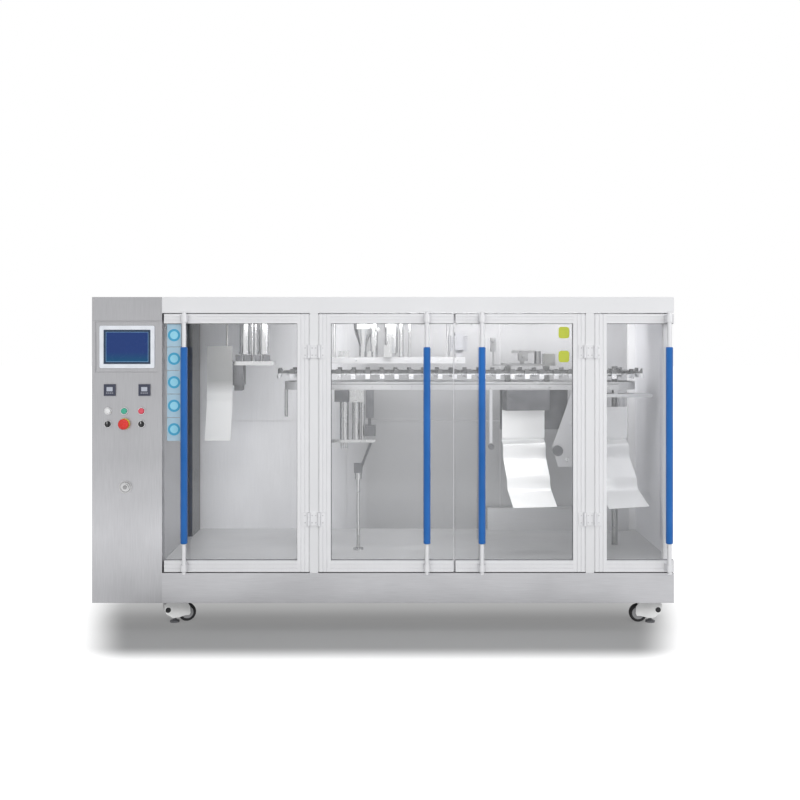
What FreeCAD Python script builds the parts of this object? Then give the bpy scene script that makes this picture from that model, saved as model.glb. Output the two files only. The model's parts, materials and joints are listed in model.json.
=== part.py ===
"""Pouch packing machine: a glazed enclosure with four hinged doors around a gripper chain line,
a control cabinet at its left end, and four levelling casters. Millimetres, Z up, the front faces -Y."""

import FreeCAD, Part
import math
import os
import re

import Sketcher

Vector = FreeCAD.Vector
Rotation = FreeCAD.Rotation

# Driving sizes of the whole machine
SIZES = {
    "overall_length": 2910.0,
    "overall_depth": 1050.0,
    "overall_height": 1655.0,
    "ground_clearance": 125.0,
    "cabinet_width": 350.0,
    "skirt_height": 150.0,
    "hood_height": 80.0,
    "skin": 3.0,
    "running_gap": 10.0,
    "door_gap": 5.0,
    "seat_gap": 0.3,
    # doors
    "door_depth": 40.0,
    "stile_width": 58.0,
    "bottom_rail": 57.0,
    "top_rail": 47.0,
    "glass_thickness": 6.0,
    "glass_bite": 12.0,
    "glass_play": 1.0,
    "groove_width": 5.0,
    "groove_depth": 3.0,
    "post_width": 42.0,
    "left_post_share": 0.296875,
    "right_post_share": 0.8359375,
    "seam_share": 0.5712890625,
    "gasket": 5.0,
    # handles
    "handle_reach": 60.0,
    "rod_radius": 11.0,
    "grip_radius": 17.5,
    "grip_low_gap": 148.5,
    "grip_high_gap": 164.5,
    "clamp_radius": 18.0,
    "clamp_height": 34.0,
    "rod_overhang": 14.0,
    "handle_inset_a": 108.0,
    "handle_inset_b": 133.5,
    "handle_inset_c": 129.5,
    "handle_inset_d": 33.0,
    # hinges
    "hinge_offset": 12.0,
    "hinge_radius": 8.0,
    "pin_radius": 4.0,
    "pin_play": 0.4,
    "hinge_height": 66.0,
    "leaf_thickness": 4.0,
    "hinge_drop": 188.0,
    "hinge_rise": 265.0,
    # frame
    "tube": 40.0,
    "tube_wall": 4.0,
    "chassis_height": 197.0,
    "deck_thickness": 5.0,
    "panel_share": 0.5052,
    "panel_gap": 2.0,
    "rear_post_share_left": 0.334,
    "rear_post_share_right": 0.6855,
    # control cabinet
    "band_height": 119.0,
    "window_margin": 16.0,
    "window_height": 255.0,
    "window_recess": 6.0,
    "screen_bezel_width": 275.0,
    "screen_bezel_height": 212.0,
    "screen_width": 235.0,
    "screen_height": 172.0,
    "bezel_depth": 14.0,
    "bezel_radius": 8.0,
    "controller_size": 58.0,
    "controller_depth": 9.0,
    "controller_drop": 343.0,
    "controller_shift_left": 85.0,
    "controller_shift_right": 88.0,
    "upper_row_drop": 448.0,
    "lower_row_drop": 513.0,
    "control_shift_left": 95.0,
    "control_shift_middle": 13.0,
    "control_shift_right": 73.0,
    "ring_radius": 20.0,
    "ring_depth": 6.0,
    "cap_radius": 15.0,
    "cap_depth": 12.0,
    "stop_radius": 27.0,
    "stop_depth": 26.0,
    "knob_length": 30.0,
    "knob_width": 11.0,
    "knob_depth": 14.0,
    "lock_shift": 7.0,
    "lock_drop": 828.0,
    "lock_radius": 32.0,
    # gripper line
    "line_depth": 455.0,
    "wheel_radius": 100.0,
    "wheel_thickness": 16.0,
    "wheel_shift": 85.0,
    "line_end": 210.0,
    "chain_drop": 313.0,
    "link_count": 52.0,
    "link_height": 20.0,
    "link_thickness": 7.0,
    "track_drop": 48.0,
    "rail_height": 42.0,
    "rail_thickness": 14.0,
    "beam_rise": 52.0,
    "beam_thickness": 32.0,
    "column": 60.0,
    "column_shift_left": 51.0,
    "column_shift_right": 134.0,
    "hanger_width": 60.0,
    # stations on the line
    "sealing_start": 366.0,
    "sealing_pitch": 101.0,
    "sealing_cylinder": 28.0,
    "sealing_plate_width": 214.0,
    "sealing_rise": 42.0,
    "sealing_plate_thickness": 21.0,
    "jaw_length": 53.0,
    "jaw_drop": 106.0,
    "guard_start": 182.0,
    "guard_width": 133.0,
    "guard_drop": 129.0,
    "guard_fold_drop": 292.0,
    "guard_lip_drop": 196.0,
    "guard_depth": 250.0,
    "beam_share_left": 0.0884,
    "beam_share_right": 0.5134,
    "beam_width": 90.0,
    "funnel_share": 0.1899,
    "funnel_mouth": 50.0,
    "funnel_spout": 20.0,
    "filler_share_small": 0.2251,
    "filler_share_large": 0.2794,
    "coder_share": 0.4943,
    "opener_share_left": 0.634,
    "opener_share_right": 0.7994,
    "opener_rise": 38.0,
    "lift_share": 0.1612,
    "lift_drop": 469.0,
    "strut_radius": 9.0,
    "duct_width": 240.0,
    "duct_depth": 25.0,
    "duct_gap": 20.0,
    "chute_share_left": 0.7696,
    "chute_share_right": 1.034,
    "chute_width": 235.0,
    "chute_drop": 92.0,
    "chute_fall": 505.0,
    "chute_reach": 215.0,
    "chute_yaw_left": 10.5,
    "chute_yaw_right": 20.0,
    "chute_start": 405.0,
    "chute_sheet": 2.0,
    "chute_box_depth": 90.0,
    "side_plate_thickness": 6.0,
    "backing_width": 360.0,
    "backing_height": 221.0,
    "backing_depth": 36.0,
    "tray_drop": 20.0,
    "tray_height": 18.0,
    "tray_depth": 110.0,
    "tray_overhang": 116.0,
    "chute_knob_radius": 27.0,
    "trough_share": 0.6096,
    "trough_overhang": 163.0,
    "trough_gap": 10.0,
    "trough_width": 60.0,
    "trough_height": 130.0,
    # casters
    "caster_shift": 40.0,
    "caster_end": 93.0,
    "caster_inset": 120.0,
    "plate_size": 76.0,
    "plate_thickness": 8.0,
    "caster_wheel_radius": 45.0,
    "caster_wheel_width": 32.0,
    "wheel_lift": 2.0,
    "trail": 62.0,
    "pad_radius": 24.0,
    "pad_height": 14.0,
    "stem_radius": 8.0,
    "boss_radius": 30.0,
    "caster_tail": 56.0,
    "fork_wall": 7.0,
    "fork_play": 2.5,
    "axle_radius": 5.0,
    "heading_front_left": 20.0,
    "heading_front_right": 176.0,
    "heading_rear_left": -12.0,
    "heading_rear_right": 168.0,
}

# Planes and lines that several pieces share, worked out from the sizes
PLACES = {
    "left_end": "-overall_length / 2",
    "right_end": "overall_length / 2",
    "rear_face": "overall_depth / 2",
    "front_face": "handle_reach - overall_depth / 2",
    "door_back": "front_face + door_depth",
    "frame_front": "door_back + gasket",
    "bay_left": "left_end + cabinet_width",
    "skirt_top": "ground_clearance + skirt_height",
    "chassis_bottom": "ground_clearance + skin",
    "hood_bottom": "overall_height - hood_height",
    "door_bottom": "skirt_top + door_gap",
    "door_top": "hood_bottom - door_gap",
    "glass_front": "front_face + (door_depth - glass_thickness) / 2",
    "deck_top": "chassis_bottom + chassis_height + deck_thickness",
    "deck_under": "chassis_bottom + chassis_height",
    "rear_lining": "rear_face - tube - skin",
    "right_lining": "right_end - skin",
    "hinge_axis": "front_face - hinge_offset",
    "rod_axis": "front_face - handle_reach + grip_radius",
    "line_middle": "front_face + line_depth",
    "chain_front": "line_middle - wheel_radius",
    "front_caster": "front_face + caster_inset",
    "rear_caster": "rear_face - caster_inset",
    "bay_length": "right_end - bay_left",
    "left_post_place": "bay_left + left_post_share * bay_length",
    "right_post_place": "bay_left + right_post_share * bay_length",
    "seam_place": "bay_left + seam_share * bay_length",
    "middle_post_left": "bay_left + rear_post_share_left * bay_length",
    "middle_post_right": "bay_left + rear_post_share_right * bay_length",
    "panel_seam": "deck_top + panel_share * (hood_bottom - deck_top)",
    "handle_a": "bay_left + running_gap + handle_inset_a",
    "handle_b": "seam_place - running_gap / 2 - handle_inset_b",
    "handle_c": "seam_place + running_gap / 2 + handle_inset_c",
    "handle_d": "right_end - handle_inset_d",
    "grip_length": "door_top - door_bottom - grip_low_gap - grip_high_gap",
    "grip_middle": "door_bottom + grip_low_gap + grip_length / 2",
    "hinge_high": "door_top - hinge_drop",
    "hinge_low": "door_bottom + hinge_rise",
    "band_seam": "overall_height - band_height",
    "window_top": "band_seam - skin",
    "window_width": "cabinet_width - 2 * window_margin",
    "window_middle": "left_end + cabinet_width / 2",
    "controller_height": "window_top - controller_drop",
    "controller_left": "window_middle - controller_shift_left",
    "controller_right": "window_middle + controller_shift_right",
    "upper_row": "window_top - upper_row_drop",
    "lower_row": "window_top - lower_row_drop",
    "control_left": "window_middle - control_shift_left",
    "control_middle": "window_middle - control_shift_middle",
    "control_right": "window_middle + control_shift_right",
    "lock_place": "window_middle - lock_shift",
    "lock_height": "window_top - lock_drop",
    "left_wheel": "left_post_place - wheel_shift",
    "right_wheel": "right_end - line_end",
    "line_length": "right_wheel - left_wheel",
    "chain_height": "hood_bottom - chain_drop",
    "track_height": "chain_height - track_drop",
    "rail_low": "track_height - rail_height",
    "beam_height": "chain_height + beam_rise",
    "column_left": "left_wheel + column_shift_left",
    "column_right": "right_wheel - column_shift_right",
    "sealing_left": "bay_left + sealing_start",
    "sealing_right": "sealing_left + sealing_pitch",
    "sealing_plate_height": "chain_height + sealing_rise",
    "guard_left": "bay_left + guard_start",
    "guard_top": "hood_bottom - tube - guard_drop",
    "guard_bend": "guard_top - guard_fold_drop",
    "guard_bottom": "guard_bend - guard_lip_drop",
    "beam_left": "left_wheel + beam_share_left * line_length",
    "beam_right": "left_wheel + beam_share_right * line_length",
    "funnel_place": "left_wheel + funnel_share * line_length",
    "filler_small": "left_wheel + filler_share_small * line_length",
    "filler_large": "left_wheel + filler_share_large * line_length",
    "coder_place": "left_wheel + coder_share * line_length",
    "opener_left": "left_wheel + opener_share_left * line_length",
    "opener_right": "left_wheel + opener_share_right * line_length",
    "opener_height": "chain_height + opener_rise",
    "lift_place": "left_wheel + lift_share * line_length",
    "lift_foot": "rail_low - lift_drop",
    "duct_front": "rear_face - tube - duct_gap - duct_width",
    "chute_edge_left": "left_wheel + chute_share_left * line_length",
    "chute_edge_right": "left_wheel + chute_share_right * line_length",
    "chute_top": "rail_low - chute_drop",
    "chute_back": "front_face + chute_start",
    "trough_left": "left_wheel + trough_share * line_length",
    "trough_right": "right_wheel + trough_overhang",
    "trough_front": "rear_face - tube - skin - trough_gap - trough_width",
    "caster_left": "bay_left + caster_shift",
    "caster_right": "right_end - caster_end",
    "beam_top": "beam_height + beam_thickness",
    "hanger_low": "hood_bottom - tube",
    "swivel_height": "chassis_bottom - plate_thickness",
    "axle_height": "caster_wheel_radius + wheel_lift",
}

doc = FreeCAD.newDocument("pouch_packing_machine")


def make_sheet():
    """The driving sizes, one row each: the name in column A, the number and its alias in column B."""
    sheet = doc.addObject("Spreadsheet::Sheet", "Sizes")
    for row, (alias, number) in enumerate(SIZES.items(), start=1):
        sheet.set(f"A{row}", alias)
        sheet.set(f"B{row}", str(number))
        sheet.setAlias(f"B{row}", alias)
    doc.recompute()
    return sheet


def linked(formula):
    """A formula over size and place names, with each name written as a link to where it is kept."""
    def link(match):
        word = match.group(0)
        if word in SIZES:
            return f"Sizes.{word}"
        return f"Places.{word}" if word in PLACES else word
    return re.sub(r"[a-z_]+", link, str(formula))


def make_places():
    """The shared planes, each bound to the sheet by its formula."""
    places = doc.addObject("App::VarSet", "Places")
    for name in PLACES:
        places.addProperty("App::PropertyFloat", name, "Places")
    for name, formula in PLACES.items():
        places.setExpression(name, linked(formula))
    doc.recompute()
    return places


sheet = make_sheet()
places = make_places()


def size(name):
    """The number of a driving size or of a shared plane."""
    return float(sheet.get(name)) if name in SIZES else float(getattr(places, name))


class Node:
    """Collects the finished sub-parts in the order in which they are made."""

    made = []

    @classmethod
    def keep(cls, item, label):
        item.Label = label
        cls.made.append(item)
        return item


def bind(item, formulas):
    """Bind properties of an object to formulas over the sheet."""
    for path, formula in formulas.items():
        item.setExpression(path, linked(formula))


def add(kind, name):
    return doc.addObject(kind, name)


def box(name, corner, lengths):
    """A block from its lowest corner and its three lengths, all formulas."""
    item = add("Part::Box", name)
    bind(item, dict(zip(("Length", "Width", "Height"), lengths)))
    bind(item, dict(zip(("Placement.Base.x", "Placement.Base.y", "Placement.Base.z"), corner)))
    return item


TURNS = {
    "x": Rotation(Vector(0, 1, 0), 90),
    "y": Rotation(Vector(1, 0, 0), -90),
    "z": Rotation(),
}


def rod(name, start, radius, length, axis="z"):
    """A cylinder that starts at a point and runs along an axis."""
    item = add("Part::Cylinder", name)
    item.Placement = FreeCAD.Placement(Vector(), TURNS[axis])
    bind(item, {"Radius": radius, "Height": length})
    bind(item, dict(zip(("Placement.Base.x", "Placement.Base.y", "Placement.Base.z"), start)))
    return item


def cone(name, start, low_radius, high_radius, length, axis="z"):
    """A cone frustum that starts at a point and runs along an axis."""
    item = add("Part::Cone", name)
    item.Placement = FreeCAD.Placement(Vector(), TURNS[axis])
    bind(item, {"Radius1": low_radius, "Radius2": high_radius, "Height": length})
    bind(item, dict(zip(("Placement.Base.x", "Placement.Base.y", "Placement.Base.z"), start)))
    return item


def fuse(name, pieces):
    item = add("Part::MultiFuse", name)
    item.Shapes = pieces
    return item


def cut(name, base, tool):
    item = add("Part::Cut", name)
    item.Base = base
    item.Tool = tool
    return item


def tube_along(name, corner, lengths, axis):
    """A square or flat hollow section: a block with its core removed along one axis."""
    outer = box(f"{name}_outer", corner, lengths)
    inner_corner = []
    inner_lengths = []
    for letter, start, length in zip("xyz", corner, lengths):
        if letter == axis:
            inner_corner.append(f"{start} - 1")
            inner_lengths.append(f"{length} + 2")
        else:
            inner_corner.append(f"{start} + tube_wall")
            inner_lengths.append(f"{length} - 2 * tube_wall")
    inner = box(f"{name}_inner", inner_corner, inner_lengths)
    return cut(name, outer, inner)


ORIGIN_PLANES = {"xy": "XY_Plane", "xz": "XZ_Plane", "yz": "YZ_Plane"}


def sketch_on(body, plane, name, offset="0"):
    """An empty sketch on one of the body's own origin planes, moved along its normal by a formula."""
    role = ORIGIN_PLANES[plane]
    support = next(item for item in body.Origin.OriginFeatures if item.Role == role)
    sketch = body.newObject("Sketcher::SketchObject", name)
    sketch.AttachmentSupport = [(support, "")]
    sketch.MapMode = "FlatFace"
    sign = "-" if plane == "xz" else ""
    sketch.setExpression("AttachmentOffset.Base.z", f"{sign}({linked(offset)})")
    return sketch


class Reader(dict):
    """Numbers of formulas, read back from a scratch object that carries them as expressions."""

    def __init__(self):
        super().__init__()
        self.holder = doc.addObject("App::VarSet", "Outline")

    def __missing__(self, formula):
        name = f"point_{len(self)}"
        self.holder.addProperty("App::PropertyFloat", name, "Outline")
        self.holder.setExpression(name, linked(formula))
        self.holder.recompute()
        self[formula] = float(getattr(self.holder, name))
        return self[formula]


number = Reader()


def draw_outline(sketch, corners):
    """A closed outline whose corners are each held by a horizontal and a vertical distance."""
    first = sketch.GeometryCount
    spots = [Vector(number[across], number[up], 0) for across, up in corners]
    count = len(spots)
    for i, spot in enumerate(spots):
        sketch.addGeometry(Part.LineSegment(spot, spots[(i + 1) % count]), False)
    for i in range(count):
        here = first + i
        sketch.addConstraint(Sketcher.Constraint("Coincident", here, 2, first + (i + 1) % count, 1))
    for i, (across, up) in enumerate(corners):
        here = first + i
        for kind, formula, value in (("DistanceX", across, spots[i].x), ("DistanceY", up, spots[i].y)):
            index = sketch.addConstraint(Sketcher.Constraint(kind, -1, 1, here, 1, value))
            sketch.setExpression(f"Constraints[{index}]", linked(formula))


def draw_circle(sketch, centre, radius):
    """A full circle held by its centre and radius."""
    spot = Vector(number[centre[0]], number[centre[1]], 0)
    here = sketch.addGeometry(Part.Circle(spot, Vector(0, 0, 1), number[radius]), False)
    held = (("DistanceX", centre[0], spot.x), ("DistanceY", centre[1], spot.y))
    for kind, formula, value in held:
        index = sketch.addConstraint(Sketcher.Constraint(kind, -1, 1, here, 3, value))
        sketch.setExpression(f"Constraints[{index}]", linked(formula))
    index = sketch.addConstraint(Sketcher.Constraint("Radius", here, number[radius]))
    sketch.setExpression(f"Constraints[{index}]", linked(radius))


def pad(body, sketch, length, name="Pad"):
    """Grow a sketch towards +X, +Y or +Z."""
    feature = body.newObject("PartDesign::Pad", name)
    feature.Profile = sketch
    feature.Reversed = sketch.AttachmentSupport[0][0].Role == "XZ_Plane"
    bind(feature, {"Length": length})
    return feature


def pocket(body, sketch, length, name="Pocket"):
    """Cut a sketch towards +X, +Y or +Z, and make sure that it removes material."""
    doc.recompute()
    before = body.Shape.Volume
    feature = body.newObject("PartDesign::Pocket", name)
    feature.Profile = sketch
    feature.Reversed = sketch.AttachmentSupport[0][0].Role != "XZ_Plane"
    bind(feature, {"Length": length})
    doc.recompute()
    if body.Shape.Volume > before - 1:
        raise RuntimeError(f"{body.Label}: {name} cuts nothing")
    return feature


def round_uprights(body, radius, axis="z"):
    """Round the body's edges that run along an axis."""
    doc.recompute()
    base = body.Tip
    edges = []
    for index, edge in enumerate(body.Shape.Edges, start=1):
        heading = edge.tangentAt(edge.FirstParameter)
        if abs(getattr(heading, axis)) > 0.9:
            edges.append(f"Edge{index}")
    feature = body.newObject("PartDesign::Fillet", f"{body.Name}_rounding")
    feature.Base = (base, edges)
    bind(feature, {"Radius": radius})
    doc.recompute()
    return feature


def padded(name, plane, outline, start, length):
    """A body grown from one outline."""
    body = add("PartDesign::Body", name)
    sketch = sketch_on(body, plane, f"{name}_sketch", start)
    draw_outline(sketch, outline)
    pad(body, sketch, length, f"{name}_pad")
    return body


def turned(name, outline, spot, axis="V_Axis"):
    """A body turned about its own upright axis from half an outline of (radius, height) pairs."""
    body = add("PartDesign::Body", name)
    sketch = sketch_on(body, "xz", f"{name}_sketch")
    draw_outline(sketch, outline)
    feature = body.newObject("PartDesign::Revolution", f"{name}_turn")
    feature.Profile = sketch
    feature.ReferenceAxis = (sketch, [axis])
    feature.Angle = 360
    bind(body, dict(zip(("Placement.Base.x", "Placement.Base.y", "Placement.Base.z"), spot)))
    return body


# Aluminium door profile

def profile_outline(width):
    """The cross-section of a door profile as (distance from the glazed edge, depth from the outer face)."""
    inner = "(door_depth - glass_thickness - glass_play) / 2"
    outer = "(door_depth + glass_thickness + glass_play) / 2"
    first = f"{width} / 3 - groove_width / 2"
    second = f"2 * {width} / 3 - groove_width / 2"
    return [
        ("0", "0"),
        (first, "0"),
        (first, "groove_depth"),
        (f"{first} + groove_width", "groove_depth"),
        (f"{first} + groove_width", "0"),
        (second, "0"),
        (second, "groove_depth"),
        (f"{second} + groove_width", "groove_depth"),
        (f"{second} + groove_width", "0"),
        (width, "0"),
        (width, "door_depth"),
        ("0", "door_depth"),
        ("0", outer),
        ("glass_bite", outer),
        ("glass_bite", inner),
        ("0", inner),
    ]


def stile(name, glazed_edge, side):
    """An upright profile whose glazed edge faces the door's free side."""
    outline = [
        (f"{glazed_edge} {side} ({across})", f"front_face + {deep}")
        for across, deep in profile_outline("stile_width")
    ]
    return padded(name, "xy", outline, "door_bottom", "door_top - door_bottom")


def rail(name, glazed_edge, side, width, start, length):
    """A level profile whose glazed edge faces the glass."""
    outline = [
        (f"front_face + {deep}", f"{glazed_edge} {side} ({across})")
        for across, deep in profile_outline(width)
    ]
    return padded(name, "yz", outline, start, length)


def moving_knuckles(name, axis_x, side):
    """The door's half of both hinges: two barrels on a leaf that is screwed to the stile."""
    pieces = []
    for level in ("hinge_high", "hinge_low"):
        third = "hinge_height / 3"
        for step, shift in enumerate(("-hinge_height / 2", "hinge_height / 6")):
            part = f"{name}_{level}_{step}"
            low = f"{level} + {shift}"
            barrel = rod(f"{part}_barrel", (axis_x, "hinge_axis", low), "hinge_radius", third)
            bore = rod(
                f"{part}_bore", (axis_x, "hinge_axis", f"{low} - 1"), "pin_radius + pin_play", f"{third} + 2"
            )
            pieces.append(cut(f"{part}_knuckle", barrel, bore))
        leaf_start = f"{axis_x} + 2" if side == "+" else f"{axis_x} - 2 - stile_width / 2"
        web_start = f"{axis_x} + 2" if side == "+" else f"{axis_x} - 2 - leaf_thickness"
        pieces.append(
            box(
                f"{name}_{level}_leaf",
                (leaf_start, "front_face - leaf_thickness", f"{level} - hinge_height / 2"),
                ("stile_width / 2", "leaf_thickness", "hinge_height"),
            )
        )
        for step, shift in enumerate(("-hinge_height / 2", "hinge_height / 6")):
            web = box(
                f"{name}_{level}_{step}_web",
                (web_start, "hinge_axis", f"{level} + {shift}"),
                ("leaf_thickness", "hinge_offset - leaf_thickness / 2", third),
            )
            hollow = rod(
                f"{name}_{level}_{step}_clear",
                (axis_x, "hinge_axis", f"{level} + {shift} - 1"),
                "pin_radius + pin_play",
                f"{third} + 2",
            )
            pieces.append(cut(f"{name}_{level}_{step}_bridge", web, hollow))
    return pieces


def make_door(letter, left, right, hinge_side):
    """One door: profiles on three sides, a bare glass edge at the free side, and a full-height pull rod."""
    name = f"door_{letter}"
    width = f"({right} - ({left}))"
    if hinge_side == "left":
        glazed = f"{left} + stile_width"
        upright = stile(f"{name}_stile", glazed, "-")
        rail_start = glazed
        axis_x = left
        side = "+"
    else:
        glazed = f"{right} - stile_width"
        upright = stile(f"{name}_stile", glazed, "+")
        rail_start = left
        axis_x = right
        side = "-"
    rod_x = f"handle_{letter}"
    rail_length = f"{width} - stile_width"
    low = rail(f"{name}_low", "door_bottom + bottom_rail", "-", "bottom_rail", rail_start, rail_length)
    high = rail(f"{name}_high", "door_top - top_rail", "+", "top_rail", rail_start, rail_length)
    knuckles = moving_knuckles(name, axis_x, side)
    pull = pull_rod(name, rod_x)
    Node.keep(fuse(f"{name}_frame", [upright, low, high] + knuckles + pull), f"{name}_frame")
    glass_left = f"{left} + stile_width - glass_bite + glass_play" if hinge_side == "left" else left
    glass = box(
        f"{name}_glass",
        (
            glass_left,
            "glass_front",
            "door_bottom + bottom_rail - glass_bite + glass_play",
        ),
        (
            f"{width} - stile_width + glass_bite - glass_play",
            "glass_thickness",
            "door_top - top_rail - door_bottom - bottom_rail + 2 * glass_bite - 2 * glass_play",
        ),
    )
    Node.keep(glass, f"{name}_glass")
    make_grip(letter, rod_x)


def pull_rod(name, rod_x):
    """A full-height steel rod in a clamp on each rail."""
    low_clamp = "door_bottom + (bottom_rail - clamp_height) / 2"
    high_clamp = "door_top - (top_rail + clamp_height) / 2"
    bar = rod(
        f"{name}_bar",
        (rod_x, "rod_axis", f"{low_clamp} - rod_overhang"),
        "rod_radius",
        f"{high_clamp} + clamp_height - ({low_clamp}) + 2 * rod_overhang",
    )
    pieces = [bar]
    for step, level in enumerate((low_clamp, high_clamp)):
        spot = (rod_x, "rod_axis", level)
        pieces.append(rod(f"{name}_ring_{step}", spot, "clamp_radius - 1", "clamp_height"))
        pieces.append(
            box(
                f"{name}_foot_{step}",
                (f"{rod_x} - clamp_radius + 4", "rod_axis", level),
                ("2 * clamp_radius - 8", "front_face - rod_axis", "clamp_height"),
            )
        )
    return pieces


def make_grip(letter, rod_x):
    """The foam grip over the middle of a pull rod."""
    grip = f"grip_{letter}"
    inner = "rod_radius + seat_gap"
    half = "grip_length / 2"
    edge = "4"
    outline = [
        (inner, f"-{half}"),
        (f"grip_radius - {edge}", f"-{half}"),
        ("grip_radius", f"-{half} + {edge}"),
        ("grip_radius", f"{half} - {edge}"),
        (f"grip_radius - {edge}", half),
        (inner, half),
    ]
    Node.keep(turned(grip, outline, (rod_x, "rod_axis", "grip_middle")), grip)


HINGE_LINES = {
    "a": "left_post_place - post_width / 2 - door_gap",
    "b": "left_post_place + post_width / 2 + door_gap",
    "c": "right_post_place - post_width / 2 - door_gap",
    "d": "right_post_place + post_width / 2 + door_gap",
}


def make_doors():
    make_door("a", "bay_left + running_gap", HINGE_LINES["a"], "right")
    make_door("b", HINGE_LINES["b"], "seam_place - running_gap / 2", "left")
    make_door("c", "seam_place + running_gap / 2", HINGE_LINES["c"], "right")
    make_door("d", HINGE_LINES["d"], "right_end", "left")


def make_hinge_pins():
    """The posts' half of the hinges: a middle barrel and a pin for each door, on one plate per post."""
    pieces = []
    for post, pair in (("left_post_place", "ab"), ("right_post_place", "cd")):
        for level in ("hinge_high", "hinge_low"):
            middle_low = f"{level} - hinge_height / 6 + 0.5"
            middle_height = "hinge_height / 3 - 1"
            plate = box(
                f"plate_{pair}_{level}",
                (f"{post} - post_width / 2 + 2", "front_face - leaf_thickness",
                 f"{level} - hinge_height / 2"),
                ("post_width - 4", "leaf_thickness", "hinge_height"),
            )
            pieces.append(plate)
            for letter in pair:
                axis_x = HINGE_LINES[letter]
                part = f"{letter}_{level}"
                pieces.append(
                    rod(f"pin_{part}", (axis_x, "hinge_axis", f"{level} - hinge_height / 2"), "pin_radius",
                        "hinge_height")
                )
                pieces.append(
                    rod(f"barrel_{part}", (axis_x, "hinge_axis", middle_low), "hinge_radius", middle_height)
                )
                bridge_x = axis_x if letter in "ac" else f"{post} + post_width / 2 - 3"
                pieces.append(
                    box(
                        f"bridge_{part}",
                        (bridge_x, "hinge_axis", middle_low),
                        ("door_gap + 3", "hinge_offset - leaf_thickness / 2", middle_height),
                    )
                )
    Node.keep(fuse("hinge_pins", pieces), "hinge_pins")


# Enclosure

def make_chassis():
    """Welded rectangular tube under the deck: a ring and two cross members."""
    length = "right_end - bay_left - 2 * skin"
    start = "bay_left + skin"
    front = "frame_front"
    rear = "rear_face - skin - tube"
    low = "chassis_bottom"
    tall = "chassis_height"
    inner = "rear_face - skin - 2 * tube - frame_front"
    pieces = [
        tube_along("chassis_front", (start, front, low), (length, "tube", tall), "x"),
        tube_along("chassis_rear", (start, rear, low), (length, "tube", tall), "x"),
    ]
    crosses = ("caster_left - tube / 2", "left_post_place", "seam_place", "right_post_place - tube",
               "caster_right - tube / 2")
    for step, where in enumerate(crosses):
        corner = (where, f"{front} + tube", low)
        cross = tube_along(f"chassis_cross_{step}", corner, ("tube", inner, tall), "y")
        pieces.append(cross)
    Node.keep(fuse("chassis_frame", pieces), "chassis_frame")


def make_skirts():
    """Brushed sheet around the chassis, bent round the front, right end and rear, with a turned-in lip."""
    body = add("PartDesign::Body", "base_skirts")
    wall = sketch_on(body, "xy", "skirt_wall", "ground_clearance")
    draw_outline(wall, [
        ("bay_left", "front_face"),
        ("right_end", "front_face"),
        ("right_end", "rear_face"),
        ("bay_left", "rear_face"),
        ("bay_left", "rear_face - skin"),
        ("right_end - skin", "rear_face - skin"),
        ("right_end - skin", "front_face + skin"),
        ("bay_left", "front_face + skin"),
    ])
    pad(body, wall, "skirt_height", "skirt_pad")
    lip = sketch_on(body, "xy", "skirt_lip", "ground_clearance")
    draw_outline(lip, [
        ("bay_left", "front_face"),
        ("right_end", "front_face"),
        ("right_end", "rear_face"),
        ("bay_left", "rear_face"),
        ("bay_left", "rear_face - tube"),
        ("right_end - tube", "rear_face - tube"),
        ("right_end - tube", "frame_front + tube / 2"),
        ("bay_left", "frame_front + tube / 2"),
    ])
    pad(body, lip, "skin", "lip_pad")
    ledge = sketch_on(body, "xy", "skirt_ledge", "skirt_top - skin")
    draw_outline(ledge, [
        ("bay_left", "front_face"),
        ("right_end", "front_face"),
        ("right_end", "frame_front"),
        ("bay_left", "frame_front"),
    ])
    pad(body, ledge, "skin", "ledge_pad")
    Node.keep(body, "base_skirts")


def make_deck():
    deck = box("deck_plate", ("bay_left", "frame_front", "deck_under"),
               ("right_end - skin - bay_left", "rear_face - skin - frame_front", "deck_thickness"))
    Node.keep(deck, "deck_plate")


def make_posts():
    """Two door posts at the front, and the uprights and cross bar that the rear panels are screwed to."""
    tall = "hood_bottom - deck_top"
    pieces = []
    for step, middle in enumerate(("left_post_place", "right_post_place")):
        pieces.append(
            box(f"front_post_{step}", (f"{middle} - post_width / 2", "front_face", "skirt_top"),
                ("post_width", "frame_front - front_face", "hood_bottom - skirt_top"))
        )
    Node.keep(fuse("door_posts", pieces), "door_posts")
    corner = "right_end - skin - tube"
    uprights = [
        box("corner_front", (corner, "frame_front", "deck_top"), ("tube", "tube", tall)),
        box("corner_rear", (corner, "rear_face - 2 * tube", "deck_top"), ("tube", "2 * tube", tall)),
        box("rear_left", ("bay_left", "rear_face - tube", "deck_top"), ("tube", "tube", tall)),
        box("rear_middle_0", ("middle_post_left", "rear_face - tube", "deck_top"), ("tube", "tube", tall)),
        box("rear_middle_1", ("middle_post_right", "rear_face - tube", "deck_top"), ("tube", "tube", tall)),
        box("rear_cross", ("bay_left", "rear_face - tube", "panel_seam - tube / 2"),
            ("right_end - skin - bay_left", "tube", "tube")),
    ]
    Node.keep(fuse("rear_posts", uprights), "rear_posts")


def make_rails():
    """The header tube behind the doors' top rails, and the beam that the stations hang from."""
    length = "right_end - skin - tube - bay_left"
    low = "hood_bottom - tube"
    corner = ("bay_left", "frame_front + tube", low)
    front = tube_along("header_front", corner, (length, "tube", "tube"), "x")
    hanger = box("hanger_beam", ("bay_left", "chain_front - hanger_width / 2", "hanger_low"),
                 ("right_end - skin - bay_left", "hanger_width", "tube"))
    Node.keep(fuse("header_rails", [front, hanger]), "header_rails")


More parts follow.
